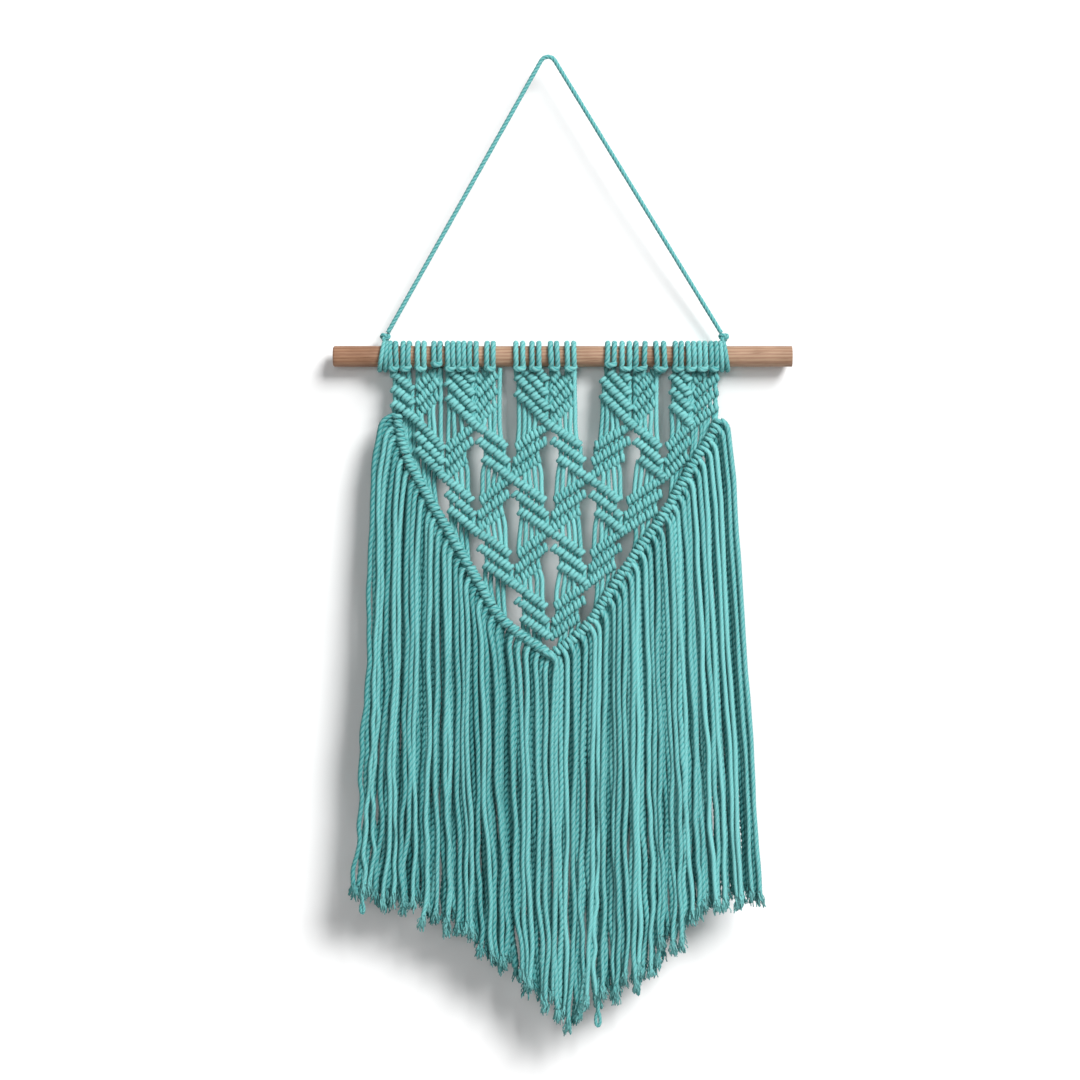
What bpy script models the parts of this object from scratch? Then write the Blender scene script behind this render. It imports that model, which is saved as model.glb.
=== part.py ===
"""Macrame wall hanging on a wooden rod: cotton cord looped over a dowel, knotted into a pointed
lattice of diagonal bars, with a long fringe below its V-shaped edge and a cord to hang it by.

Metres, +Z up, +X to the right as seen from the front, +Y towards the wall. The origin is where
the wall hook bears on the underside of the hanging cord.
"""

import math

import bmesh
import bpy
from mathutils import Vector

MM = 0.001

# --- Driving dimensions -------------------------------------------------------------------
ROD_LENGTH = 350 * MM
ROD_RADIUS = 8 * MM
ROD_CENTRE = Vector((11.1, 0, -226.8)) * MM
ROD_SIDES = 24

STRAND_RADIUS = 1.95 * MM        # a free strand of the cotton cord
CLEARANCE = 0.3 * MM            # between pieces that touch

PANEL_LEFT = -119.5 * MM
PANEL_RIGHT = 130.5 * MM
HEADING_Z = -241 * MM           # the upper ends of the uppermost bars, under the rod
HEADING_BEND_Z = -246 * MM      # where they turn aside
FIRST_ROW_Z = -279 * MM         # where they meet in the first row of V's
ROW_PITCH = 40.6 * MM
STRANDS_PER_TRIANGLE = 3
STRAND_PITCH = 4.5 * MM
STRAND_END = 7.5 * MM           # above or below a bar's middle, where a strand ends inside it
LENS_HALF_HEIGHT = 34 * MM      # of the gap between two columns, above or below its row
LENS_STRAIGHT = 13 * MM         # of its sides, likewise
SHORTEST_STRAND = 30 * MM       # a shorter one would be hidden by its bars

BAR_RADIUS = 3.9 * MM           # one row of double half hitches; two run side by side
BAR_PITCH = 7.4 * MM
BAR_VALLEY = 0.8                # how far the band narrows between two knots
BAR_LAP = 1.6 * MM              # how far each bar runs past the line where it meets the next
KNOT_PITCH = 11.5 * MM
FALLING_Y = -0.9 * MM           # bars that fall to the right pass in front of the others
RISING_Y = 0.9 * MM

EDGE_RADIUS = 5.4 * MM          # the heavier bar along the V-shaped edge
EDGE_KNOT_PITCH = 11 * MM
TIP_X = 2.3 * MM                # where its two halves meet
FRONT_STRANDS = 28              # fringe strands on each half of the edge
BACK_STRANDS = 13
FRINGE_RADIUS = 2.25 * MM
FRONT_Y = -1.7 * MM
BACK_Y = 3.4 * MM
FRINGE_UNEVEN = 6 * MM          # how far the cut ends differ from an even edge

# Where two columns of the panel meet: the x of that line, the first row in which bars cross
# on it, how far it moves with each row, and half the width of the gaps above and below.
LINE_COLUMNS = ("x_mm", "first_row", "drift_mm", "top_gap_mm", "gap_mm")
LINES = [
    dict(zip(LINE_COLUMNS, row))
    for row in (
        (-101.5, 0, 0.0, 1.2, 1.5),
        (-78.8, 1, 0.0, 1.5, 3.2),
        (-55.7, 0, 0.4, 1.8, 5.6),
        (-28.2, 1, 1.1, 6.8, 5.4),
        (0.8, 0, 0.2, 2.2, 5.6),
        (30.5, 1, -0.4, 9.0, 5.6),
        (64.0, 0, -3.4, 2.4, 5.4),
        (88.2, 1, -0.5, 4.0, 4.4),
        (111.5, 0, 0.0, 1.8, 2.4),
    )
]
COLUMNS = len(LINES) + 1

# The lark's heads on the rod, by the x of their middle: two in each column.
HEADS_MM = (
    -117.4, -107.6, -96.8, -86, -76, -66.4, -57, -43.8, -21.7, -9.5,
    4.2, 16.8, 47.6, 58.8, 70.5, 85.8, 99, 108.6, 118, 127.4,
)
HEAD_RADIUS = 1.5 * MM          # the cord, pulled tight
HEAD_HALF_WIDTH = 2.4 * MM
HEAD_RING = 11.0 * MM           # centre line round the rod
HEAD_STEPS = 6
HEAD_TURN = math.radians(318)

# The V-shaped edge from each upper end to its point.
EDGE_MM = {
    "left": ((-119.5, -281), (-105, -309), (-93, -331), (-78, -356), (-54, -397), (-34, -428)),
    "right": ((130.5, -281), (113, -306), (89, -346), (66, -378), (44, -411), (27, -435)),
}
TIP_Z = -455 * MM
# The fringe on each half: x and z of its outer and inner cut ends.
FRINGE_COLUMNS = ("outer_x_mm", "outer_z_mm", "inner_x_mm", "inner_z_mm")
FRINGE = {
    "left": dict(zip(FRINGE_COLUMNS, (-148, -634, -0.6, -712))),
    "right": dict(zip(FRINGE_COLUMNS, (161, -636, 5.2, -728))),
}

# The hanging cord and the hitches that tie its ends to the rod.
HANGER_RADIUS = 1.7 * MM
HANGER_BEND = 6 * MM            # its centre line over the hook
HANGER_SIDE_STEPS = 26
KNOT_RADIUS = 3.3 * MM
KNOT_Z = -212 * MM
HITCH_WRAPS = 2
HITCH_COLUMNS = ("knot_x_mm", "wrap_x_mm", "lean_mm")
HITCHES = {
    "left": dict(zip(HITCH_COLUMNS, (-124, -126.6, -1.6))),
    "right": dict(zip(HITCH_COLUMNS, (134, 136.6, 1.6))),
}

TEAL = (0.10, 0.47, 0.44, 1)
WOOD = (0.42, 0.22, 0.12, 1)


# --- Scene and materials ------------------------------------------------------------------
def clear_scene():
    for thing in list(bpy.data.objects):
        bpy.data.objects.remove(thing)


def material(name, colour, roughness):
    made = bpy.data.materials.new(name)
    made.use_nodes = True
    shader = made.node_tree.nodes["Principled BSDF"]
    shader.inputs["Base Color"].default_value = colour
    shader.inputs["Roughness"].default_value = roughness
    shader.inputs["Metallic"].default_value = 0.0
    return made


def collection(name):
    made = bpy.data.collections.new(name)
    bpy.context.scene.collection.children.link(made)
    return made


def add_object(name, data, where):
    made = bpy.data.objects.new(name, data)
    where.objects.link(made)
    return made


def hide(helper):
    """Marks an object as a helper that only other objects use."""
    helper.hide_render = True
    helper.display_type = "WIRE"
    return helper


# --- Modelling tools ----------------------------------------------------------------------
def outline(name, points, where):
    """A closed section for tubes()."""
    curve = bpy.data.curves.new(name, "CURVE")
    curve.dimensions = "2D"
    spline = curve.splines.new("POLY")
    spline.points.add(len(points) - 1)
    spline.use_cyclic_u = True
    for point, (x, y) in zip(spline.points, points):
        point.co = (x, y, 0, 1)
    return hide(add_object(name, curve, where))


def triangle(name, radius, where):
    """The section of a strand, with an edge to the front."""
    angles = (math.pi, -math.pi / 3, math.pi / 3)
    points = [(radius * math.cos(angle), radius * math.sin(angle)) for angle in angles]
    return outline(name, points, where)


def tubes(name, paths, where, radius=0.0, resolution=0, section=None, twist="MINIMUM"):
    """One curve object with a tube along each path of (place, share of the radius)."""
    curve = bpy.data.curves.new(name, "CURVE")
    curve.dimensions = "3D"
    curve.twist_mode = twist
    curve.use_fill_caps = True
    if section:
        curve.bevel_mode = "OBJECT"
        curve.bevel_object = section
    else:
        curve.bevel_depth = radius
        curve.bevel_resolution = resolution
    for path in paths:
        spline = curve.splines.new("POLY")
        spline.points.add(len(path) - 1)
        for point, (place, share) in zip(spline.points, path):
            point.co = (*place, 1)
            point.radius = share
    return add_object(name, curve, where)


def as_mesh(curve_object, where, finish=None):
    """The curve object made a closed mesh, with its caps welded to its sides."""
    bpy.context.view_layer.update()
    graph = bpy.context.evaluated_depsgraph_get()
    mesh = bpy.data.meshes.new_from_object(curve_object.evaluated_get(graph))
    edit = bmesh.new()
    edit.from_mesh(mesh)
    bmesh.ops.remove_doubles(edit, verts=edit.verts, dist=0.00001)
    bmesh.ops.recalc_face_normals(edit, faces=edit.faces)
    edit.to_mesh(mesh)
    edit.free()
    mesh.materials.clear()
    if finish:
        mesh.materials.append(finish)
    name = curve_object.name
    place = curve_object.matrix_world.copy()
    bpy.data.objects.remove(curve_object)
    made = add_object(name, mesh, where)
    made.matrix_world = place
    return made


def join(body, others, operation="UNION"):
    """Adds a Boolean with each of the others, which become hidden helpers."""
    for other in others:
        boolean = body.modifiers.new(other.name, "BOOLEAN")
        boolean.operation = operation
        boolean.solver = "MANIFOLD"
        boolean.object = hide(other)
    return body


def even(places):
    """A path of one thickness throughout."""
    return [(place, 1.0) for place in places]


def ridged(corners, pitch, valley):
    """A path through the corners that swells at each knot and narrows between two."""
    lengths = [(b - a).length for a, b in zip(corners, corners[1:])]
    total = sum(lengths)
    steps = 2 * max(2, round(total / pitch))
    path = []
    for step in range(steps + 1):
        run = total * step / steps
        leg = 0
        while leg < len(lengths) - 1 and run > lengths[leg]:
            run -= lengths[leg]
            leg += 1
        place = corners[leg].lerp(corners[leg + 1], run / lengths[leg])
        path.append((place, 1.0 if step % 2 else valley))
    return path


def uneven(number):
    """A repeatable spread between -1 and 1 that looks random from one number to the next."""
    return math.sin(12.9898 * number + 4.1) * math.cos(7.233 * number)


# --- The rod ------------------------------------------------------------------------------
def build_rod(where):
    bpy.ops.mesh.primitive_cylinder_add(
        vertices=ROD_SIDES,
        radius=ROD_RADIUS,
        depth=ROD_LENGTH,
        location=ROD_CENTRE,
        rotation=(0, math.radians(90), 0),
    )
    rod = bpy.context.object
    rod.name = "rod"
    rod.data.materials.append(material("dowel", WOOD, 0.6))
    for owner in rod.users_collection:
        owner.objects.unlink(rod)
    where.objects.link(rod)


# --- The knotted panel --------------------------------------------------------------------
def line_x(line, row):
    """X of the line between two columns, or of the panel's side, at a row."""
    if line < 0:
        return PANEL_LEFT
    if line >= len(LINES):
        return PANEL_RIGHT
    entry = LINES[line]
    return (entry["x_mm"] + entry["drift_mm"] * (row - entry["first_row"])) * MM


def row_z(row):
    return FIRST_ROW_Z - row * ROW_PITCH if row >= 0 else HEADING_BEND_Z


def crosses(line, row):
    """Whether two bars meet on this line in this row: the rows narrow to a point."""
    return row % 2 == line % 2 and row <= min(line, len(LINES) - 1 - line)


def top_gap(line):
    return LINES[line]["top_gap_mm"] * MM if 0 <= line < len(LINES) else 0.0


def bar_of(column, row):
    """The start and end of the bar that crosses this column in this row, or None."""
    falls = (column + row) % 2 == 0
    start, end = (column - 1, column) if falls else (column, column - 1)
    if not (0 <= end < len(LINES) and crosses(end, row)):
        return None
    y = FALLING_Y if falls else RISING_Y
    start_x = line_x(start, row - 1)
    if row == 0:
        start_x += (top_gap(start) + BAR_PITCH) * (1 if falls else -1)
    first = Vector((start_x, y, row_z(row - 1)))
    last = Vector((line_x(end, row), y, row_z(row)))
    lap = (last - first).normalized() * BAR_LAP
    return (first if row == 0 else first - lap), last + lap


def bar_path(bar, row):
    """The ridged path of a bar, from its left end. One of the first row starts straight down."""
    corners = list(bar)
    if row == 0:
        lean = math.copysign(0.2 * MM, bar[1].x - bar[0].x)
        corners.insert(0, Vector((bar[0].x - lean, bar[0].y, HEADING_Z)))
    if corners[-1].x < corners[0].x:
        corners.reverse()
    return ridged(corners, KNOT_PITCH, BAR_VALLEY)


def height_at(bar, x):
    """Z of a bar's middle where it passes this x."""
    start, end = bar
    share = (x - start.x) / (end.x - start.x)
    return start.z + (end.z - start.z) * min(1, max(0, share))


def bar_section(where):
    """Two rows of knots side by side, as seen along a bar: x is towards the front."""
    r = BAR_RADIUS
    half = BAR_PITCH / 2
    front = ((r, half), (0.4 * r, 0), (r, -half))
    back = ((-0.9 * r, -0.9 * half), (-0.9 * r, 0.9 * half))
    points = ((0, half + r), *front, (0, -half - r), *back)
    return outline("bar_section", points, where)


def bar_groups():
    """The bars' paths in four groups, within each of which none touches another."""
    groups = {}
    for column in range(COLUMNS):
        for row in range(len(LINES)):
            bar = bar_of(column, row)
            if bar:
                path = bar_path(bar, row)
                groups.setdefault(((column + row) % 2, row % 2), []).append(path)
    return groups


def lens(z, row, gap):
    """Half the width at height z of the gap beside this row; under the rod it starts wide."""
    off = z - row_z(row)
    if row == 0 and off > 0:
        return gap
    slant = (LENS_HALF_HEIGHT - abs(off)) / (LENS_HALF_HEIGHT - LENS_STRAIGHT)
    return gap * min(1, max(0, slant))


def triangle_strands(column, row):
    """The free strands between this row's bar and the next one in the column."""
    upper, lower = bar_of(column, row), bar_of(column, row + 1)
    if not (upper and lower):
        return []
    falls = (column + row) % 2 == 0
    line, side = (column - 1, 1) if falls else (column, -1)
    gap = 0.0
    if 0 <= line < len(LINES):
        gap = LINES[line]["top_gap_mm" if row == 0 else "gap_mm"] * MM
    paths = []
    for index in range(STRANDS_PER_TRIANGLE):
        inset = STRAND_RADIUS + 0.4 * MM + index * STRAND_PITCH

        def x_at(z):
            return line_x(line, row) + side * (inset + lens(z, row, gap))

        middle = row_z(row)
        top_z, low_z = middle + ROW_PITCH, middle - ROW_PITCH
        for _ in range(12):     # settles where the bowed strand meets its two bars
            top_z += 0.5 * (height_at(upper, x_at(top_z)) - STRAND_END - top_z)
            low_z += 0.5 * (height_at(lower, x_at(low_z)) + STRAND_END - low_z)
        if top_z - low_z < SHORTEST_STRAND:
            continue
        y = 0.6 * MM * uneven(column * 10 + row * 3 + index)
        bends = [z for z in (middle + LENS_STRAIGHT, middle - LENS_STRAIGHT) if low_z < z < top_z]
        heights = [top_z, *bends, low_z]
        paths.append(even(Vector((x_at(z), y, z)) for z in heights))
    return paths


def head_path(x):
    """One lark's head: up behind the rod, over it, down in front, across, and back again."""
    half = HEAD_HALF_WIDTH
    ring = []
    for step in range(HEAD_STEPS + 1):
        turn = HEAD_TURN * step / HEAD_STEPS
        ring.append((HEAD_RING * math.sin(turn), -HEAD_RING * math.cos(turn)))
    sides = []
    for side in (-1, 1):
        places = [Vector((x + side * half, y, ROD_CENTRE.z + z)) for y, z in ring]
        sides.append(places)
    return even(sides[0] + sides[1][::-1])


def tail_paths(column):
    """The four cord ends that drop from the column's two lark's heads to its first bar."""
    bar = bar_of(column, 0)
    paths = []
    for x_mm in HEADS_MM[2 * column : 2 * column + 2]:
        for side in (-1, 1):
            x = x_mm * MM + side * HEAD_HALF_WIDTH
            top = Vector((x, 0, ROD_CENTRE.z - HEAD_RING))
            low_z = min(height_at(bar, x) + STRAND_END, HEADING_Z - 3 * MM)
            paths.append(even((top, Vector((x, bar[0].y, low_z)))))
    return paths


def edge_corners(side):
    corners = [Vector((x, 0, z)) * MM for x, z in EDGE_MM[side]]
    return corners + [Vector((TIP_X, 0, TIP_Z))]


def edge_height(side, x):
    """Z of the middle of the V-shaped edge at this x."""
    corners = edge_corners(side)
    for a, b in zip(corners, corners[1:]):
        if min(a.x, b.x) <= x <= max(a.x, b.x):
            return a.z + (b.z - a.z) * (x - a.x) / (b.x - a.x)
    return corners[0].z


def edge_slope(side, x):
    corners = edge_corners(side)
    for a, b in zip(corners, corners[1:]):
        if min(a.x, b.x) <= x <= max(a.x, b.x):
            return abs(b.z - a.z) / (b - a).length
    return 1.0


def link_paths():
    """The strands that run from the outermost bars down to just above the V-shaped edge."""
    paths = []
    last = len(LINES)
    for side, column_of, step in (("left", lambda row: row, 1), ("right", lambda row: last - row, -1)):
        for row in range(last // 2 + 1):
            bar = bar_of(column_of(row), row)
            for share in (0.3, 0.75):
                x = bar[0].x + (bar[1].x - bar[0].x) * share
                z = bar[0].z + (bar[1].z - bar[0].z) * share
                slope = edge_slope(side, x)
                reach = EDGE_RADIUS + 3 * CLEARANCE + STRAND_RADIUS * slope
                low = edge_height(side, x) + reach / math.sqrt(1 - slope * slope)
                if low < z - 2 * BAR_RADIUS:
                    paths.append(even((Vector((x, 0, z)), Vector((x, 0, low)))))
    return paths


def build_panel(where, helpers):
    cotton = material("cotton_panel", TEAL, 0.85)
    section = bar_section(helpers)
    bars = []
    for number, group in enumerate(bar_groups().values()):
        curve = tubes(f"bars_{number}", group, helpers, section=section, twist="Z_UP")
        bars.append(as_mesh(curve, helpers))
    panel = bars.pop(0)
    panel.name = "knotted_panel"
    panel.data.materials.append(cotton)
    helpers.objects.unlink(panel)
    where.objects.link(panel)
    free = []
    for column in range(COLUMNS):
        for row in range(len(LINES)):
            free += triangle_strands(column, row)
    thick = triangle("strand_section", STRAND_RADIUS, helpers)
    thin = triangle("head_section", HEAD_RADIUS, helpers)
    strands = as_mesh(tubes("strands", free, helpers, section=thick), helpers)
    heads = [head_path(x * MM) for x in HEADS_MM]
    loops = as_mesh(tubes("loops", heads, helpers, section=thin), helpers)
    ends = [path for column in range(COLUMNS) for path in tail_paths(column)]
    tails = as_mesh(tubes("tails", ends, helpers, section=thick), helpers)
    links = as_mesh(tubes("links", link_paths(), helpers, section=thick), helpers)
    join(panel, [*bars, strands, tails, loops, links])


# --- The V-shaped edge and its fringe -----------------------------------------------------


def fringe_paths(side, count, y, first, last, seed):
    """Strands that hang from the edge, from its share `first` of the way in to `last`."""
    ends = FRINGE[side]
    corners = edge_corners(side)
    paths = []
    for number in range(count):
        share = first + (last - first) * number / (count - 1)
        root_x = corners[0].x + (TIP_X - corners[0].x) * share
        low_x = (ends["outer_x_mm"] + (ends["inner_x_mm"] - ends["outer_x_mm"]) * share) * MM
        low_z = (ends["outer_z_mm"] + (ends["inner_z_mm"] - ends["outer_z_mm"]) * share) * MM
        low_z += FRINGE_UNEVEN * uneven(number + seed)
        root_z = edge_height(side, root_x) - 0.25 * EDGE_RADIUS
        places = [Vector((root_x, y, root_z))]
        for fall, out in ((0.1, 0.35), (0.4, 0.8), (0.7, 0.95), (1.0, 1.0)):
            x = root_x + (low_x - root_x) * out
            z = root_z + (low_z - root_z) * fall
            places.append(Vector((x, y, z)))
        paths.append(even(places))
    return paths


def half_space(name, side, where):
    """A block that takes away what lies past the middle of the V."""
    size = 60 * MM
    edge = TIP_X + (-CLEARANCE / 2 if side == "left" else CLEARANCE / 2)
    shift = size / 2 if side == "left" else -size / 2
    bpy.ops.mesh.primitive_cube_add(size=size, location=(edge + shift, 0, TIP_Z))
    block = bpy.context.object
    block.name = name
    for owner in block.users_collection:
        owner.objects.unlink(block)
    where.objects.link(block)
    return block


def build_fringe(side, where, helpers, section):
    name = f"fringe_{side}"
    path = ridged(edge_corners(side), EDGE_KNOT_PITCH, BAR_VALLEY)
    towards = (path[-1][0] - path[-2][0]).normalized()
    path.append((path[-1][0] + towards * EDGE_RADIUS, BAR_VALLEY))
    body = as_mesh(
        tubes(name, [path], where, EDGE_RADIUS, resolution=1),
        where,
        material(f"cotton_{side}", TEAL, 0.85),
    )
    join(body, [half_space(f"past_{side}", side, helpers)], "DIFFERENCE")
    front = fringe_paths(side, FRONT_STRANDS, FRONT_Y, 0.005, 0.97, 3)
    back = fringe_paths(side, BACK_STRANDS, BACK_Y, 0.05, 0.93, 40)
    layers = [
        as_mesh(tubes(f"{layer}_{side}", paths, helpers, section=section), helpers)
        for layer, paths in (("front", front), ("back", back))
    ]
    join(body, layers)


# --- The hanging cord and its hitches -----------------------------------------------------
def knot_centre(side):
    return Vector((HITCHES[side]["knot_x_mm"] * MM, 0, KNOT_Z))


def hanger_route():
    """Points up one leg, over the hook and down the other."""
    top = Vector((0, 0, HANGER_RADIUS - HANGER_BEND))
    legs = {}
    for side, turn in (("left", -1), ("right", 1)):
        reach = knot_centre(side) - top
        lean = math.atan2(turn * reach.x, -reach.z) + math.asin(HANGER_BEND / reach.length)
        legs[side] = lean
    places = []
    for side, turn in (("left", -1), ("right", 1)):
        # The leg leaves the bend where it is tangent to the line to its knot.
        angle = math.pi / 2 - legs[side]
        touch = top + HANGER_BEND * Vector((turn * math.sin(angle), 0, math.cos(angle)))
        knot = knot_centre(side)
        low = knot + (touch - knot).normalized() * (KNOT_RADIUS + CLEARANCE)
        leg = [low.lerp(touch, step / HANGER_SIDE_STEPS) for step in range(HANGER_SIDE_STEPS)]
        bend = [
            top + HANGER_BEND * Vector((turn * math.sin(angle * s), 0, math.cos(angle * s)))
            for s in (1, 0.66, 0.33)
        ]
        places.append(leg + bend)
    over = top + Vector((0, 0, HANGER_BEND))
    return places[0] + [over] + places[1][::-1]


def build_hanger(where):
    cord = tubes("hanging_cord", [even(hanger_route())], where, HANGER_RADIUS, resolution=2)
    cord.data.materials.append(material("cotton_cord", TEAL, 0.85))


def build_hitch(side, where, helpers):
    """The knot on top of the rod, and the turns round the rod below it."""
    entry = HITCHES[side]
    out = -1 if side == "left" else 1
    radius = HEAD_RADIUS
    places = []
    steps = HEAD_STEPS * HITCH_WRAPS
    for step in range(steps + 1):
        turn = math.tau * HITCH_WRAPS * step / steps
        x = entry["wrap_x_mm"] * MM + out * 2.9 * MM * (turn / math.tau - 0.5)
        ring = HEAD_RING + 0.25 * MM
        places.append(Vector((x, ring * math.sin(turn), ROD_CENTRE.z + ring * math.cos(turn))))
    wraps = as_mesh(tubes(f"wraps_{side}", [even(places)], helpers, radius), helpers)
    bpy.ops.mesh.primitive_uv_sphere_add(
        segments=10, ring_count=6, radius=KNOT_RADIUS, location=knot_centre(side)
    )
    knot = bpy.context.object
    knot.name = f"hitch_{side}"
    knot.data.materials.append(material(f"cotton_hitch_{side}", TEAL, 0.85))
    for owner in knot.users_collection:
        owner.objects.unlink(knot)
    where.objects.link(knot)
    join(knot, [wraps])


def main():
    clear_scene()
    hanging = collection("macrame_wall_hanging")
    helpers = collection("helpers")
    build_rod(hanging)
    build_panel(hanging, helpers)
    section = triangle("fringe_section", FRINGE_RADIUS, helpers)
    for side in ("left", "right"):
        build_fringe(side, hanging, helpers, section)
        build_hitch(side, hanging, helpers)
    build_hanger(hanging)


main()
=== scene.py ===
"""Looks of the macrame wall hanging: teal three-ply cotton cord knotted over a hardwood dowel.

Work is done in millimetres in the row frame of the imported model: +X right, +Y to the wall, +Z up,
the origin where the hook bears under the hanging cord. CordMesh turns them to metres.
"""

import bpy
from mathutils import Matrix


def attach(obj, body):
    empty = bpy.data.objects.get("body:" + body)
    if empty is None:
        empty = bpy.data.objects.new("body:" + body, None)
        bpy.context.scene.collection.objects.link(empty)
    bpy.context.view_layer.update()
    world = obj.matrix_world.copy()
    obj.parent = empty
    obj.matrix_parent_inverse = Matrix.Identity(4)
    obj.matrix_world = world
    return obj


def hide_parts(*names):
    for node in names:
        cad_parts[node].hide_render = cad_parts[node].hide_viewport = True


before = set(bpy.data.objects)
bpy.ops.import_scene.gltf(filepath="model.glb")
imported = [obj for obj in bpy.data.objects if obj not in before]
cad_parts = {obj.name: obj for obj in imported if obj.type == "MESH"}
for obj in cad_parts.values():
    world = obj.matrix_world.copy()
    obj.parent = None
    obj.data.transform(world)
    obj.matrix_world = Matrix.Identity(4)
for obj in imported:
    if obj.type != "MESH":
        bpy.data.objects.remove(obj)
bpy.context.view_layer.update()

import logging
import math
from dataclasses import dataclass, field
from enum import Enum
from typing import Any, Iterator, Optional, Sequence

import bpy
import numpy as np
from mathutils import Vector

LOG = logging.getLogger("macrame")
MM = 0.001
FRONT = np.array((0.0, -1.0, 0.0))
UP = np.array((0.0, 0.0, 1.0))
PLIES = 3
DEEPEST_GROOVE = 0.6    # share of the radius at which the painted groove shade is at its darkest
CUT_FACE_CROWN = 0.4    # height between plies that the cut face of a cord is coloured as, on the ramp of painted groove shade


class Side(Enum):
    """The halves of the hanging as seen from the front."""

    LEFT = "left"
    RIGHT = "right"

    @property
    def sign(self) -> int:
        """-1 on the left, 1 on the right."""
        return -1 if self is Side.LEFT else 1


class Run(Enum):
    """Which way a bar of knots runs as it goes to the right."""

    FALLING = 0
    RISING = 1


# --- Colour and nodes ----------------------------------------------------------------------
def linear(hex_colour: str) -> tuple[float, float, float, float]:
    """Turns an sRGB colour to linear light.

    Args:
        hex_colour: six hex digits after a #.

    Returns:
        Red, green, blue and an alpha of 1.
    """
    channels = []
    for start in (1, 3, 5):
        value = int(hex_colour[start : start + 2], 16) / 255
        channels.append(value / 12.92 if value <= 0.04045 else ((value + 0.055) / 1.055) ** 2.4)
    return (*channels, 1.0)


def add_node(
    tree: bpy.types.NodeTree,
    kind: str,
    settings: Optional[dict[str, Any]] = None,
    inputs: Optional[dict[Any, Any]] = None,
) -> bpy.types.Node:
    """Adds one shader node with its settings and links.

    Args:
        tree: the node tree it goes into.
        kind: the node's type, without the word ShaderNode.
        settings: the node's own properties.
        inputs: by socket name or number, either a value or another node's output socket.

    Returns:
        The node.
    """
    node = tree.nodes.new(f"ShaderNode{kind}")
    for name, value in (settings or {}).items():
        setattr(node, name, value)
    for name, value in (inputs or {}).items():
        if isinstance(value, bpy.types.NodeSocket):
            tree.links.new(value, node.inputs[name])
        else:
            node.inputs[name].default_value = value
    return node


def set_ramp(node: bpy.types.Node, stops: Sequence[tuple[float, str]]) -> None:
    """Gives a colour ramp its stops.

    Args:
        node: the ramp.
        stops: place from 0 to 1 and hex colour of each.
    """
    elements = node.color_ramp.elements
    while len(elements) < len(stops):
        elements.new(0.5)
    for element, (spot, colour) in zip(elements, stops):
        element.position = spot
        element.color = linear(colour)


def new_material(name: str) -> tuple[bpy.types.Material, bpy.types.NodeTree]:
    """Starts a material with only its output and a principled shader.

    Args:
        name: the real material's name.

    Returns:
        The material and its node tree.
    """
    made = bpy.data.materials.new(name)
    made.use_nodes = True
    return made, made.node_tree


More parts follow.
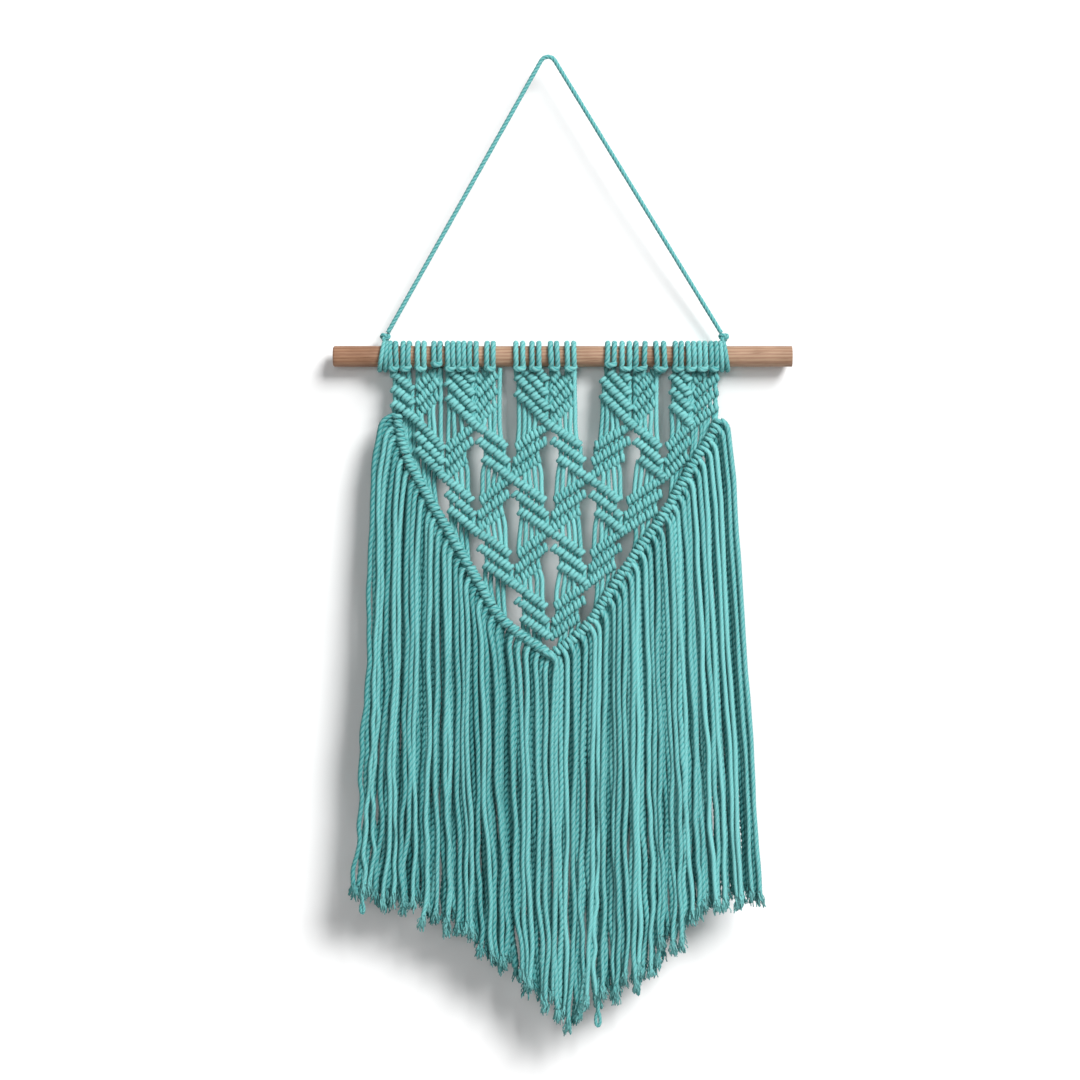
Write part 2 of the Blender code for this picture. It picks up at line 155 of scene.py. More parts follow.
# --- Finishes ------------------------------------------------------------------------------
@dataclass(frozen=True)
class ThreePlyCotton:
    """Dyed three-ply cotton cord: matt, soft at the edges, painted darker where two plies meet.

    The plies are in the mesh. The finish adds the fine yarns that run along each ply, painted shade
    in the grooves between plies, the slight change from one strand to the next with painted light
    and shade on the strands drawn lighter or darker, and a soft bloom of fibres.
    """

    name: str = "three_ply_cotton_cord"
    # painted shade: groove, flank and crown are the colours from the bottom of the groove between
    # two plies to the top of a ply; groove and flank are drawn darker because shade falls there
    groove: str = "#064348"
    flank: str = "#319192"
    crown: str = "#75B7B6"
    roughness: float = 0.9
    bloom: float = 0.12            # sheen of the short fibres that stand off the cord
    bloom_colour: str = "#A8E4DC"
    yarn_mm: float = 0.55          # real yarns are 0.3 mm: drawn coarser, to show in the render
    yarn_run_mm: float = 7.0
    yarn_contrast: float = 0.8     # how far the dye changes from yarn to yarn
    relief_mm: float = 0.35
    dye_and_shade_depth: float = 1.2         # how much purer the colour of a darker strand is, for its own tone and for painted shade
    flank_at: float = 0.34         # height between plies at which the painted colour is the flank's
    crown_at: float = 0.83

    def make(self) -> bpy.types.Material:
        """Makes the material.

        Returns:
            The material.
        """
        made, tree = new_material(self.name)
        shader = tree.nodes["Principled BSDF"]
        crown = add_node(tree, "Attribute", {"attribute_name": "crown"})
        tint = add_node(tree, "Attribute", {"attribute_name": "tint"})
        along = add_node(tree, "Attribute", {"attribute_name": "along"})
        across = 1 / self.yarn_mm
        scaled = add_node(
            tree,
            "Mapping",
            inputs={
                "Vector": along.outputs["Vector"],
                "Scale": (across, across, 1 / self.yarn_run_mm),
            },
        )
        yarns = add_node(
            tree,
            "TexNoise",
            inputs={
                "Vector": scaled.outputs["Vector"],
                "Scale": 1.0,
                "Detail": 3.0,
                "Roughness": 0.65,
            },
        )
        shade = add_node(
            tree,
            "Math",
            {"operation": "MULTIPLY_ADD"},
            {0: yarns.outputs["Fac"], 1: self.yarn_contrast, 2: -0.5 * self.yarn_contrast},
        )
        uneven = add_node(
            tree,
            "Math",
            {"operation": "ADD"},
            {0: crown.outputs["Fac"], 1: shade.outputs[0]},
        )
        # a darker strand's colour moves down the ramp: for its own tone, and as painted shade for
        # the strands drawn darker
        dye_and_shade_taken = add_node(
            tree,
            "Math",
            {"operation": "MULTIPLY_ADD"},
            {0: tint.outputs["Fac"], 1: self.dye_and_shade_depth, 2: -self.dye_and_shade_depth},
        )
        height = add_node(
            tree,
            "Math",
            {"operation": "ADD", "use_clamp": True},
            {0: uneven.outputs[0], 1: dye_and_shade_taken.outputs[0]},
        )
        # painted shade: the ramp darkens the cord towards the groove between two plies
        dye_and_groove_shade = add_node(tree, "ValToRGB", inputs={"Fac": height.outputs[0]})
        stops = ((0.0, self.groove), (self.flank_at, self.flank), (self.crown_at, self.crown))
        set_ramp(dye_and_groove_shade, stops)
        tinted = add_node(
            tree,
            "Mix",
            {"data_type": "RGBA", "blend_type": "MULTIPLY"},
            {0: 1.0, 6: dye_and_groove_shade.outputs["Color"], 7: tint.outputs["Color"]},
        )
        bump = add_node(
            tree,
            "Bump",
            inputs={
                "Strength": 0.6,
                "Distance": self.relief_mm * MM,
                "Height": yarns.outputs["Fac"],
            },
        )
        tree.links.new(tinted.outputs[2], shader.inputs["Base Color"])
        tree.links.new(bump.outputs["Normal"], shader.inputs["Normal"])
        shader.inputs["Roughness"].default_value = self.roughness
        shader.inputs["Specular IOR Level"].default_value = 0.1
        shader.inputs["Sheen Weight"].default_value = self.bloom
        shader.inputs["Sheen Roughness"].default_value = 0.6
        shader.inputs["Sheen Tint"].default_value = linear(self.bloom_colour)
        return made


@dataclass(frozen=True)
class HardwoodDowel:
    """Unfinished hardwood dowel, machine turned: warm brown, dry, with long fine grain.

    The growth rings are cut nearly along their length, so they show as long bands with a few
    arches. Pores are short dark dashes along the grain.
    """

    name: str = "hardwood_dowel"
    early: str = "#BA9A80"
    late: str = "#A6826A"
    pore: str = "#8E6B52"
    left_end_darker: str = "#E4D4C8"       # times the rest: darker towards the left end
    left_end_darker_from_mm: float = -90.0
    left_end_darker_to_mm: float = -140.0
    ring_mm: float = 2.6
    pore_mm: float = 0.5           # real pores are 0.2 mm wide: drawn coarser, to show
    pore_run_mm: float = 14.0
    roughness: float = 0.62

    def make(self) -> bpy.types.Material:
        """Makes the material.

        Returns:
            The material.
        """
        made, tree = new_material(self.name)
        shader = tree.nodes["Principled BSDF"]
        where = add_node(tree, "TexCoord")
        slanted = add_node(
            tree,
            "Mapping",
            inputs={
                "Vector": where.outputs["Object"],
                "Location": (0.0, 11.0, 250.0),
                "Rotation": (0.0, 0.012, 0.02),
                "Scale": (1000.0, 1000.0, 1000.0),
            },
        )
        rings = add_node(
            tree,
            "TexWave",
            {"wave_type": "RINGS", "rings_direction": "X"},
            {
                "Vector": slanted.outputs["Vector"],
                # a wave texture of scale 1 draws a ring every 0.314
                "Scale": 0.314 / self.ring_mm,
                "Distortion": 2.2,
                "Detail": 2.0,
                "Detail Scale": 0.12,
            },
        )
        stretched = add_node(
            tree,
            "Mapping",
            inputs={
                "Vector": where.outputs["Object"],
                "Scale": (1000 / self.pore_run_mm, 1000 / self.pore_mm, 1000 / self.pore_mm),
            },
        )
        pores = add_node(
            tree,
            "TexNoise",
            inputs={"Vector": stretched.outputs["Vector"], "Scale": 1.0, "Detail": 2.0},
        )
        clouds = add_node(
            tree,
            "TexNoise",
            inputs={"Vector": where.outputs["Object"], "Scale": 28.0, "Detail": 2.0},
        )
        bands = add_node(tree, "ValToRGB", inputs={"Fac": rings.outputs["Fac"]})
        set_ramp(bands, ((0.1, self.late), (0.75, self.early)))
        dashes = add_node(tree, "ValToRGB", inputs={"Fac": pores.outputs["Fac"]})
        set_ramp(dashes, ((0.30, "#FFFFFF"), (0.48, "#000000")))
        with_pores = add_node(
            tree,
            "Mix",
            {"data_type": "RGBA", "blend_type": "MIX"},
            {0: dashes.outputs["Color"], 6: bands.outputs["Color"], 7: linear(self.pore)},
        )
        weather = add_node(tree, "ValToRGB", inputs={"Fac": clouds.outputs["Fac"]})
        set_ramp(weather, ((0.3, "#D8D2CE"), (0.7, "#FFFFFF")))
        aged = add_node(
            tree,
            "Mix",
            {"data_type": "RGBA", "blend_type": "MULTIPLY"},
            {0: 1.0, 6: with_pores.outputs[2], 7: weather.outputs["Color"]},
        )
        split = add_node(tree, "SeparateXYZ", inputs={"Vector": where.outputs["Object"]})
        # darker towards the left end of the rod
        left_end = add_node(
            tree,
            "MapRange",
            inputs={
                "Value": split.outputs["X"],
                "From Min": self.left_end_darker_from_mm * MM,
                "From Max": self.left_end_darker_to_mm * MM,
            },
        )
        wood = add_node(
            tree,
            "Mix",
            {"data_type": "RGBA", "blend_type": "MULTIPLY"},
            {0: left_end.outputs["Result"], 6: aged.outputs[2], 7: linear(self.left_end_darker)},
        )
        bump = add_node(
            tree,
            "Bump",
            inputs={"Strength": 0.35, "Distance": 0.2 * MM, "Height": pores.outputs["Fac"]},
        )
        tree.links.new(wood.outputs[2], shader.inputs["Base Color"])
        tree.links.new(bump.outputs["Normal"], shader.inputs["Normal"])
        shader.inputs["Roughness"].default_value = self.roughness
        shader.inputs["Specular IOR Level"].default_value = 0.35
        return made


@dataclass(frozen=True)
class StudioPaint:
    """Matt pale paint of the studio's wall and floor: an even ground that takes soft shadows."""

    name: str
    colour: str = "#F4F4F4"
    one_sided: bool = False        # seen through from behind, so the back can be looked at

    def make(self) -> bpy.types.Material:
        """Makes the material.

        Returns:
            The material.
        """
        made, tree = new_material(self.name)
        shader = tree.nodes["Principled BSDF"]
        shader.inputs["Base Color"].default_value = linear(self.colour)
        shader.inputs["Roughness"].default_value = 0.95
        shader.inputs["Specular IOR Level"].default_value = 0.1
        if self.one_sided:
            facing = add_node(tree, "NewGeometry")
            clear = add_node(tree, "BsdfTransparent")
            both = add_node(
                tree,
                "MixShader",
                inputs={
                    0: facing.outputs["Backfacing"],
                    1: shader.outputs["BSDF"],
                    2: clear.outputs["BSDF"],
                },
            )
            output = tree.nodes["Material Output"]
            tree.links.new(both.outputs["Shader"], output.inputs["Surface"])
        return made


# --- Cord ----------------------------------------------------------------------------------
@dataclass(frozen=True)
class Cord:
    """Three-ply cord as it lies in one place. All sizes are in millimetres.

    With one point to a ply it is a plain three-sided tuft, as a fibre of a frayed end is.
    """

    radius: float = 2.1
    step: float = 1.6              # between two rings of the mesh
    lay: float = 14.5              # length in which a ply goes once round
    points_per_ply: int = 4
    flattened: float = 1.0         # thickness away from what it lies on, over its width
    groove: float = 0.75           # how far in two plies meet, as a share of the radius

    def outline(self) -> tuple[np.ndarray, np.ndarray, np.ndarray]:
        """Draws the cord's cross-section.

        Returns:
            The angle, share of the radius and height between plies of each point.
        """
        lobes = {
            1: ((0, 1.0),),
            3: ((-30, 0.97), (30, 0.97), (60, self.groove)),
            4: ((-36, 0.94), (0, 1.0), (36, 0.94), (60, self.groove)),
        }[self.points_per_ply]
        angles = [math.radians(120 * ply + angle) for ply in range(PLIES) for angle, _ in lobes]
        shares = np.array([share for _ in range(PLIES) for _, share in lobes])
        return np.array(angles), shares, (shares - DEEPEST_GROOVE) / (1 - DEEPEST_GROOVE)


def unit(vectors: np.ndarray) -> np.ndarray:
    """Returns the vectors, one or many, at length 1."""
    return vectors / np.linalg.norm(vectors, axis=-1, keepdims=True)


def lengths_along(route: np.ndarray) -> np.ndarray:
    """Returns how far along the route each of its points lies."""
    return np.concatenate(([0.0], np.cumsum(np.linalg.norm(np.diff(route, axis=0), axis=1))))


def smooth_route(corners: Sequence[Sequence[float]], step: float) -> np.ndarray:
    """Draws a smooth curve through the corners.

    Args:
        corners: the points it goes through, in order.
        step: the distance between two points of the result.

    Returns:
        Points along the curve.
    """
    knots = np.asarray(corners, float)
    padded = np.vstack((2 * knots[0] - knots[1], knots, 2 * knots[-1] - knots[-2]))
    t = np.linspace(0, 1, 12, endpoint=False)[:, None]
    parts = []
    for a, b, c, d in zip(padded, padded[1:], padded[2:], padded[3:]):
        bend = (2 * a - 5 * b + 4 * c - d) * t**2 + (3 * b - a - 3 * c + d) * t**3
        parts.append(0.5 * (2 * b + (c - a) * t + bend))
    dense = np.vstack((*parts, knots[-1]))
    run = lengths_along(dense)
    count = max(3, round(run[-1] / step) + 1)
    places = np.linspace(0, run[-1], count)
    return np.stack([np.interp(places, run, dense[:, axis]) for axis in range(3)], axis=1)


def carried_sides(tangents: np.ndarray) -> np.ndarray:
    """Carries a direction square to the route along it, with no turn of its own.

    Args:
        tangents: the route's direction at each point.

    Returns:
        One unit vector for each point.
    """
    side = FRONT if abs(tangents[0] @ FRONT) < 0.9 else UP
    sides = np.empty_like(tangents)
    for number, tangent in enumerate(tangents):
        side = side - tangent * (side @ tangent)
        side = side / math.sqrt(side @ side)
        sides[number] = side
    return sides


class CordMesh:
    """Gathers runs of cord, in millimetres, and makes one mesh of them."""

    def __init__(self, seed: int) -> None:
        """Starts an empty mesh with its own repeatable random numbers.

        Args:
            seed: what the random numbers start from; each piece has its own.
        """
        self.random = np.random.default_rng(seed)
        self.points: list[np.ndarray] = []
        self.crowns: list[np.ndarray] = []
        self.alongs: list[np.ndarray] = []
        self.tints: list[np.ndarray] = []
        self.quads: list[np.ndarray] = []
        self.triangles: list[np.ndarray] = []
        self.count = 0

    def strand_tint(self, spread: float = 0.09) -> float:
        """Returns how light one strand is beside the others."""
        return float(1 + self.random.uniform(-spread, spread))

    def add_rings(
        self,
        rings: np.ndarray,
        crown: np.ndarray,
        along: np.ndarray,
        tint: float,
        closed: bool = False,
    ) -> None:
        """Adds a tube made of rings of points.

        Args:
            rings: the points, as ring, point and axis.
            crown: how high each point of a ring stands between two plies.
            along: the place of each point in the cord before it was twisted.
            tint: how light the cord is.
            closed: whether the last ring meets the first; otherwise both ends are capped.
        """
        total, sides = rings.shape[:2]
        index = self.count + np.arange(total * sides).reshape(total, sides)
        following = np.roll(index, -1, axis=0) if closed else index[1:]
        current = index if closed else index[:-1]
        corners = (current, np.roll(current, -1, 1), np.roll(following, -1, 1), following)
        self.quads.append(np.stack(corners, axis=-1).reshape(-1, 4))
        points = [rings.reshape(-1, 3)]
        crowns = [np.tile(crown, total)]
        alongs = [along.reshape(-1, 3)]
        if not closed:
            for ring, way in ((0, -1), (total - 1, 1)):
                middle = self.count + total * sides + (0 if ring == 0 else 1)
                edge = index[ring]
                pair = (edge, np.roll(edge, -1)) if way > 0 else (np.roll(edge, -1), edge)
                hub = np.full(sides, middle)
                self.triangles.append(np.stack((hub, *pair), axis=-1))
                points.append(rings[ring].mean(axis=0, keepdims=True))
                crowns.append(np.array([CUT_FACE_CROWN]))
                alongs.append(along[ring].mean(axis=0, keepdims=True))
        added = np.vstack(points)
        self.points.append(added)
        self.crowns.append(np.concatenate(crowns))
        self.alongs.append(np.vstack(alongs))
        self.tints.append(np.full(len(added), tint))
        self.count += len(added)

    def lay(
        self,
        route: np.ndarray,
        cord: Cord,
        tint: Optional[float] = None,
        sides: Optional[np.ndarray] = None,
        shares: Optional[np.ndarray] = None,
        closed: bool = False,
    ) -> None:
        """Lays one run of twisted cord along a route.

        Args:
            route: the points of its middle.
            cord: the cord.
            tint: how light it is; drawn at random if left out.
            sides: at each point, the direction away from what the cord lies on.
            shares: at each point, the thickness over the cord's own.
            closed: whether the run is a ring.
        """
        if closed:
            tangents = unit(np.roll(route, -1, axis=0) - np.roll(route, 1, axis=0))
        else:
            tangents = unit(np.gradient(route, axis=0))
        unmet = 0.0
        if sides is None:
            sides = carried_sides(tangents)
            if closed:
                back = sides[-1] - tangents[0] * (sides[-1] @ tangents[0])
                unmet = math.atan2(back @ np.cross(tangents[0], sides[0]), back @ sides[0])
        sides = unit(sides - tangents * np.sum(sides * tangents, axis=1, keepdims=True))
        others = np.cross(tangents, sides)
        run = lengths_along(route)
        turns = run / cord.lay
        if closed:
            whole = run[-1] + np.linalg.norm(route[0] - route[-1])
            turns = run / whole * round(whole / cord.lay)
        angles, outline, crown = cord.outline()
        phase = self.random.uniform(0, 2 * math.pi)
        turned = angles[None, :] + (2 * math.pi * turns + phase)[:, None]
        if unmet:
            turned = turned - (unmet * run / whole)[:, None]
        thickness = np.ones(len(route)) if shares is None else shares
        reach = cord.radius * thickness[:, None] * outline[None, :]
        rings = (
            route[:, None, :]
            + (reach * np.cos(turned))[..., None] * sides[:, None, :] * cord.flattened
            + (reach * np.sin(turned))[..., None] * others[:, None, :]
        )
        start = self.random.uniform(0, 500)
        along = np.stack(
            np.broadcast_arrays(
                reach * np.cos(angles), reach * np.sin(angles), (run + start)[:, None]
            ),
            axis=-1,
        )
        self.add_rings(rings, crown, along, tint or self.strand_tint(), closed)

    def fray(
        self,
        end: np.ndarray,
        way: np.ndarray,
        radius: float,
        tint: float,
        length: float,
        fibres: int,
    ) -> None:
        """Opens the cut end of a strand: its plies part, and loose fibres stand out of them.

        Args:
            end: the middle of the cord where it opens.
            way: the direction that the cord has there.
            radius: the cord's radius.
            tint: how light the strand is.
            length: how far the longest ply goes on.
            fibres: how many tufts of fibres there are besides the plies.
        """
        random = self.random
        across = unit(np.cross(way, FRONT))
        ahead = np.cross(across, way)
        first = random.uniform(0, 2 * math.pi)

        def outward(angle: float) -> np.ndarray:
            """Returns the direction square to the cord at an angle round it."""
            return across * math.cos(angle) + ahead * math.sin(angle)

        loose_ply = Cord(radius=0.52 * radius, lay=9.0, points_per_ply=3)
        for ply in range(PLIES):
            angle = first + 2 * math.pi * ply / PLIES
            reach = length * random.uniform(0.45, 0.7)
            spread = radius * random.uniform(0.15, 0.6)
            corners = []
            for step in range(5):
                t = step / 4
                out = outward(angle + 1.9 * t) * (0.45 * radius + spread * t * t)
                corners.append(end + way * (reach * t - 2.0) + out)
            route = smooth_route(corners, reach / 6)
            thin = np.interp(np.linspace(0, 1, len(route)), (0, 0.6, 1), (1.0, 0.95, 0.7))
            self.lay(route, loose_ply, tint, shares=thin)
        lean = across * random.uniform(-0.2, 0.2) * length
        fibre = Cord(radius=0.22 * radius, lay=60.0, points_per_ply=1)
        for number in range(fibres):
            out = outward(first + 2.4 * number)
            reach = length * random.uniform(0.4, 0.7)
            flare = radius * random.uniform(0.15, 1.3)
            begin = end + way * length * random.uniform(-0.1, 0.3)
            begin = begin + out * radius * random.uniform(0.1, 0.7)
            curl = across * random.uniform(-0.1, 0.1) * reach + lean * 0.6
            wave = outward(random.uniform(0, 2 * math.pi)) * radius * 0.3
            corners = [
                begin,
                begin + way * reach * 0.3 + out * flare * 0.3 + wave,
                begin + way * reach * 0.7 + out * flare * 0.8 + curl * 0.5 - wave,
                begin + way * reach + out * flare * 0.9 + curl,
            ]
            route = smooth_route(corners, reach / 4)
            self.lay(route, fibre, tint * random.uniform(0.74, 1.02))

    def finished(self, name: str, finish: bpy.types.Material) -> bpy.types.Object:
        """Makes the object.

        Args:
            name: the piece's name.
            finish: its material.

        Returns:
            The object, in the scene.
        """
        points = np.vstack(self.points) * MM
        quads = np.vstack(self.quads)
        triangles = np.vstack(self.triangles) if self.triangles else np.empty((0, 3), int)
        mesh = bpy.data.meshes.new(name)
        mesh.vertices.add(len(points))
        mesh.vertices.foreach_set("co", points.astype(np.float32).ravel())
        loops = np.concatenate((quads.ravel(), triangles.ravel()))
        mesh.loops.add(len(loops))
        mesh.loops.foreach_set("vertex_index", loops.astype(np.int32))
        starts = np.concatenate(
            (np.arange(len(quads)) * 4, quads.size + np.arange(len(triangles)) * 3)
        )
        mesh.polygons.add(len(starts))
        mesh.polygons.foreach_set("loop_start", starts.astype(np.int32))
        mesh.polygons.foreach_set("use_smooth", np.ones(len(starts), bool))
        for label, kind, key, values in (
            ("crown", "FLOAT", "value", np.concatenate(self.crowns)),
            ("tint", "FLOAT", "value", np.concatenate(self.tints)),
            ("along", "FLOAT_VECTOR", "vector", np.vstack(self.alongs)),
        ):
            layer = mesh.attributes.new(label, kind, "POINT")
            layer.data.foreach_set(key, values.astype(np.float32).ravel())
        mesh.update(calc_edges=True)
        mesh.validate()
        mesh.materials.append(finish)
        made = bpy.data.objects.new(name, mesh)
        bpy.context.scene.collection.objects.link(made)
        LOG.info("%s: %d triangles", name, 2 * len(quads) + len(triangles))
        return made


def place(piece: bpy.types.Object, *nodes: str) -> bpy.types.Object:
    """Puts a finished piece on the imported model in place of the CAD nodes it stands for.

    Args:
        piece: the piece.
        nodes: the CAD nodes.

    Returns:
        The piece.
    """
    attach(piece, "root")
    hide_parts(*nodes)
    return piece


# --- The plan of the knotted panel ---------------------------------------------------------
@dataclass(frozen=True)
class PanelPlan:
    """Where the panel's columns, rows and bars lie, in millimetres, as in the CAD model."""

    rod_centre: tuple[float, float, float] = (11.1, 0.0, -226.8)
    left: float = -119.5
    right: float = 130.5
    first_row_z: float = -279.0
    row_pitch: float = 40.6
    heading_z: float = -238.5      # under the rod, where the uppermost bars begin
    tip: tuple[float, float, float] = (2.3, 0.0, -455.0)
    bars_in_arm: int = 3
    bars_in_top_arm: int = 4
    shortest_bar: float = 5.0
    bar_rise: float = 10.3         # between two bars of one arm, measured upright
    first_slope: float = 1.0       # fall over width of the lowest bar in the first row
    outer_slope: float = 0.72      # the same in the outermost columns
    first_fan: float = 0.06        # how much steeper each bar above it is
    outer_lift: float = 4.5        # of the first crossing on the left, above the others
    front_y: float = -1.4          # of the falling bars, which pass in front
    behind_y: float = 1.2          # of the rising bars
    beside_cord: float = 3.4       # room for a free cord beside the top bars
    # x of the line, first row with a crossing, drift with each row, half gap above, half gap
    lines: tuple[tuple[float, int, float, float, float], ...] = (
        (-101.5, 0, 0.0, 1.2, 1.5),
        (-78.8, 1, 0.0, 1.0, 3.2),
        (-55.7, 0, 0.4, 1.2, 6.6),
        (-28.2, 1, 1.1, 5.2, 6.2),
        (0.8, 0, 0.2, 1.8, 7.4),
        (30.5, 1, -0.4, 8.6, 6.4),
        (64.0, 0, -3.4, 2.0, 6.4),
        (88.2, 1, -0.5, 3.8, 5.2),
        (109.5, 0, -5.0, 1.6, 3.0),
    )
    # height above the middle of a gap, and its width there as a share of the widest
    lens: tuple[tuple[float, float], ...] = (
        (-33, 0.0), (-27, 0.3), (-18, 0.42), (-4, 0.52), (6, 0.65), (11, 0.85), (15, 1.0),
        (20, 0.85), (25, 0.5), (30, 0.15), (33, 0.0),
    )
    # the same for the slots under the rod, from the height of the first crossings
    slot: tuple[tuple[float, float], ...] = (
        (-36, 0.0), (-35, 0.05), (-29, 0.33), (-21, 0.58), (-13, 0.8), (-6, 0.93), (0, 1.0),
    )

    @property
    def columns(self) -> int:
        """How many columns the panel has."""
        return len(self.lines) + 1

    def line_x(self, line: int, row: int) -> float:
        """Finds the line between two columns, or the panel's side, at a row.

        Args:
            line: the line; below 0 is the panel's left side, and past the last its right.
            row: the row.

        Returns:
            Its x.
        """
        if line < 0:
            return self.left
        if line >= len(self.lines):
            return self.right
        x, first, drift, _, _ = self.lines[line]
        return x + drift * (row - first)

    def row_z(self, row: int) -> float:
        """Returns the height at which the lowest bars of a row cross."""
        return self.first_row_z - row * self.row_pitch

    def crossing_z(self, line: int, row: int) -> float:
        """Returns the height at which the lowest bars cross on a line."""
        return self.row_z(row) + (self.outer_lift if line == 0 and row == 0 else 0.0)

    def crosses(self, line: int, row: int) -> bool:
        """Returns whether bars meet on this line in this row: the rows narrow to a point."""
        return row % 2 == line % 2 and row <= min(line, len(self.lines) - 1 - line)

    def gap(self, line: int, z: float) -> float:
        """Finds the gap on a line at a height.

        Args:
            line: the line.
            z: the height.

        Returns:
            Half the width of the gap, 0 where it is closed.
        """
        if not 0 <= line < len(self.lines):
            return 0.0
        _, _, _, top_gap, gap = self.lines[line]
        if line % 2 and z > self.row_z(0):
            return top_gap
        widest = 0.0
        if not line % 2 and z > self.row_z(0):
            # Above its first crossing an even line opens into a narrow slot under the rod.
            share = min(1.0, max(0.0, (z - self.row_z(0) - 9.0) / 8.0))
            widest = top_gap * share
        for row in range(1 - line % 2, min(line, len(self.lines) - 1 - line) + 2, 2):
            places, shares = zip(*(self.lens if row else self.slot))
            size = gap if row else top_gap
            if row or z < self.row_z(0):
                share = float(np.interp(z - self.row_z(row), places, shares))
                widest = max(widest, size * share)
        return widest

    def arm(self, column: int, row: int) -> Optional[tuple[Run, int, int]]:
        """Finds the arm of bars that crosses a column in a row.

        Args:
            column: the column.
            row: the row.

        Returns:
            Which way it runs and its upper and lower line, or None where there is none.
        """
        run = Run.FALLING if (column + row) % 2 == 0 else Run.RISING
        start, end = (column - 1, column) if run is Run.FALLING else (column, column - 1)
        if not (0 <= end < len(self.lines) and self.crosses(end, row)):
            return None
        return run, start, end

    def bars(self, column: int, row: int) -> list[np.ndarray]:
        """Finds the middle lines of the bars of one arm, the lowest first.

        Args:
            column: the column.
            row: the row.

        Returns:
            The upper and lower end of each bar, or nothing where there is no arm.
        """
        found = self.arm(column, row)
        if not found:
            return []
        run, start, end = found
        way = 1 if run is Run.FALLING else -1
        y = self.front_y if run is Run.FALLING else self.behind_y
        low_x = self.line_x(end, row)
        high_x = self.line_x(start, row - 1)
        width = abs(low_x - high_x)
        top = self.bars_in_arm - 1
        bars = []
        for number in range(self.bars_in_arm if row else self.bars_in_top_arm):
            low_z = self.crossing_z(end, row) + number * self.bar_rise
            slope = self.first_slope if 0 < column < len(self.lines) else self.outer_slope
            slope += self.first_fan * number
            if row:
                high_z = self.crossing_z(start, row - 1) - (top - number) * self.bar_rise
                slope = (high_z - low_z) / width
            high_z = low_z + slope * width
            inset_low = 0.0 if number == 0 else self.gap(end, low_z + 1) + 0.3
            inset_high = self.gap(start, high_z - 1) + 0.4
            if row and number == top:
                inset_high = 0.0
            if not row:
                has_cord = column % 2 and 0 < start < len(self.lines)
                inset_high += self.beside_cord if has_cord else 0.4
                inset_high = max(inset_high, width - (self.heading_z - low_z) / slope)
            if width - inset_low - inset_high < self.shortest_bar:
                continue
            high = np.array((high_x + way * inset_high, y, high_z - slope * inset_high))
            low = np.array((low_x - way * inset_low, y, low_z + slope * inset_low))
            bars.append(np.stack((high, low)))
        return bars

    @staticmethod
    def height_at(bar: np.ndarray, x: float) -> float:
        """Finds a bar's middle where it passes this x.

        Args:
            bar: the upper and lower end of its middle line.
            x: where.

        Returns:
            The height there.
        """
        high, low = bar
        share = (x - high[0]) / (low[0] - high[0])
        return float(high[2] + (low[2] - high[2]) * min(1.0, max(0.0, share)))

    def landing(self, column: int, x: float) -> tuple[float, float]:
        """Finds where a cord that hangs from the rod meets the first bar below it.

        Args:
            column: the column it hangs in.
            x: where it leaves the rod.

        Returns:
            The x and z of the meeting point, on the bar's middle line.
        """
        best: Optional[tuple[float, float]] = None
        for bar in reversed(self.bars(column, 0)):
            first, last = sorted((bar[0][0], bar[1][0]))
            near = min(max(x, first + 0.8), last - 0.8)
            spot = (near, self.height_at(bar, near))
            if best is None or abs(near - x) < abs(best[0] - x) - 0.6:
                best = spot
        return best or (x, self.heading_z)


PLAN = PanelPlan()


# --- Sub-assemblies ------------------------------------------------------------------------
@dataclass
class Dowel:
    """The rod: a hardwood dowel, sawn to length, its left end a little rounded by wear."""

    finish: bpy.types.Material
    length: float = 350.0
    radius: float = 8.0
    around: int = 72
    rings: int = 90
    left_round: float = 1.8
    right_round: float = 0.5

    def radius_at(self, u: float, angle: np.ndarray) -> np.ndarray:
        """Returns the radius at a distance along the rod: never quite round, never quite even."""
        even = 0.04 * math.sin(u / 23) + 0.03 * math.sin(u / 7.1)
        return self.radius - 0.1 + even + 0.05 * np.sin(2 * angle + 0.7 + u / 60)

    def profile(self) -> list[tuple[float, float]]:
        """Lists the rings from the left end to the right.

        Returns:
            The distance along the rod and the cut into its radius of each ring.
        """
        left = [
            (self.left_round * (1 - math.cos(turn)), self.left_round * (1 - math.sin(turn)))
            for turn in np.linspace(0, math.pi / 2, 6)
        ]
        middle = np.linspace(self.left_round, self.length - self.right_round, self.rings)[1:-1]
        right = [
            (
                self.length - self.right_round * (1 - math.sin(turn)),
                self.right_round * (1 - math.cos(turn)),
            )
            for turn in np.linspace(0, math.pi / 2, 4)
        ]
        return left + [(float(u), 0.0) for u in middle] + right

    def build(self) -> bpy.types.Object:
        """Builds the dowel in place of the CAD rod.

        Returns:
            The piece.
        """
        centre = PLAN.rod_centre
        angle = np.linspace(0, 2 * math.pi, self.around, endpoint=False)
        rings = []
        for u, cut in self.profile():
            reach = self.radius_at(u, angle) - cut
            x = np.full(self.around, centre[0] - self.length / 2 + u)
            y, z = centre[1] + reach * np.sin(angle), centre[2] + reach * np.cos(angle)
            rings.append(np.stack((x, y, z), axis=1))
        faces: list[tuple[int, ...]] = []
        for ring in range(len(rings) - 1):
            a, b = ring * self.around, (ring + 1) * self.around
            for j in range(self.around):
                k = (j + 1) % self.around
                faces.append((a + j, b + j, b + k, a + k))
        last = (len(rings) - 1) * self.around
        faces.append(tuple(range(self.around)))
        faces.append(tuple(last + j for j in reversed(range(self.around))))
        mesh = bpy.data.meshes.new("dowel")
        mesh.from_pydata((np.vstack(rings) * MM).tolist(), [], faces)
        mesh.update()
        smooth = np.ones(len(faces), bool)
        smooth[-2:] = False
        mesh.polygons.foreach_set("use_smooth", smooth)
        mesh.materials.append(self.finish)
        made = bpy.data.objects.new("dowel", mesh)
        bpy.context.scene.collection.objects.link(made)
        LOG.info("dowel: %d faces", len(faces))
        return place(made, "rod")


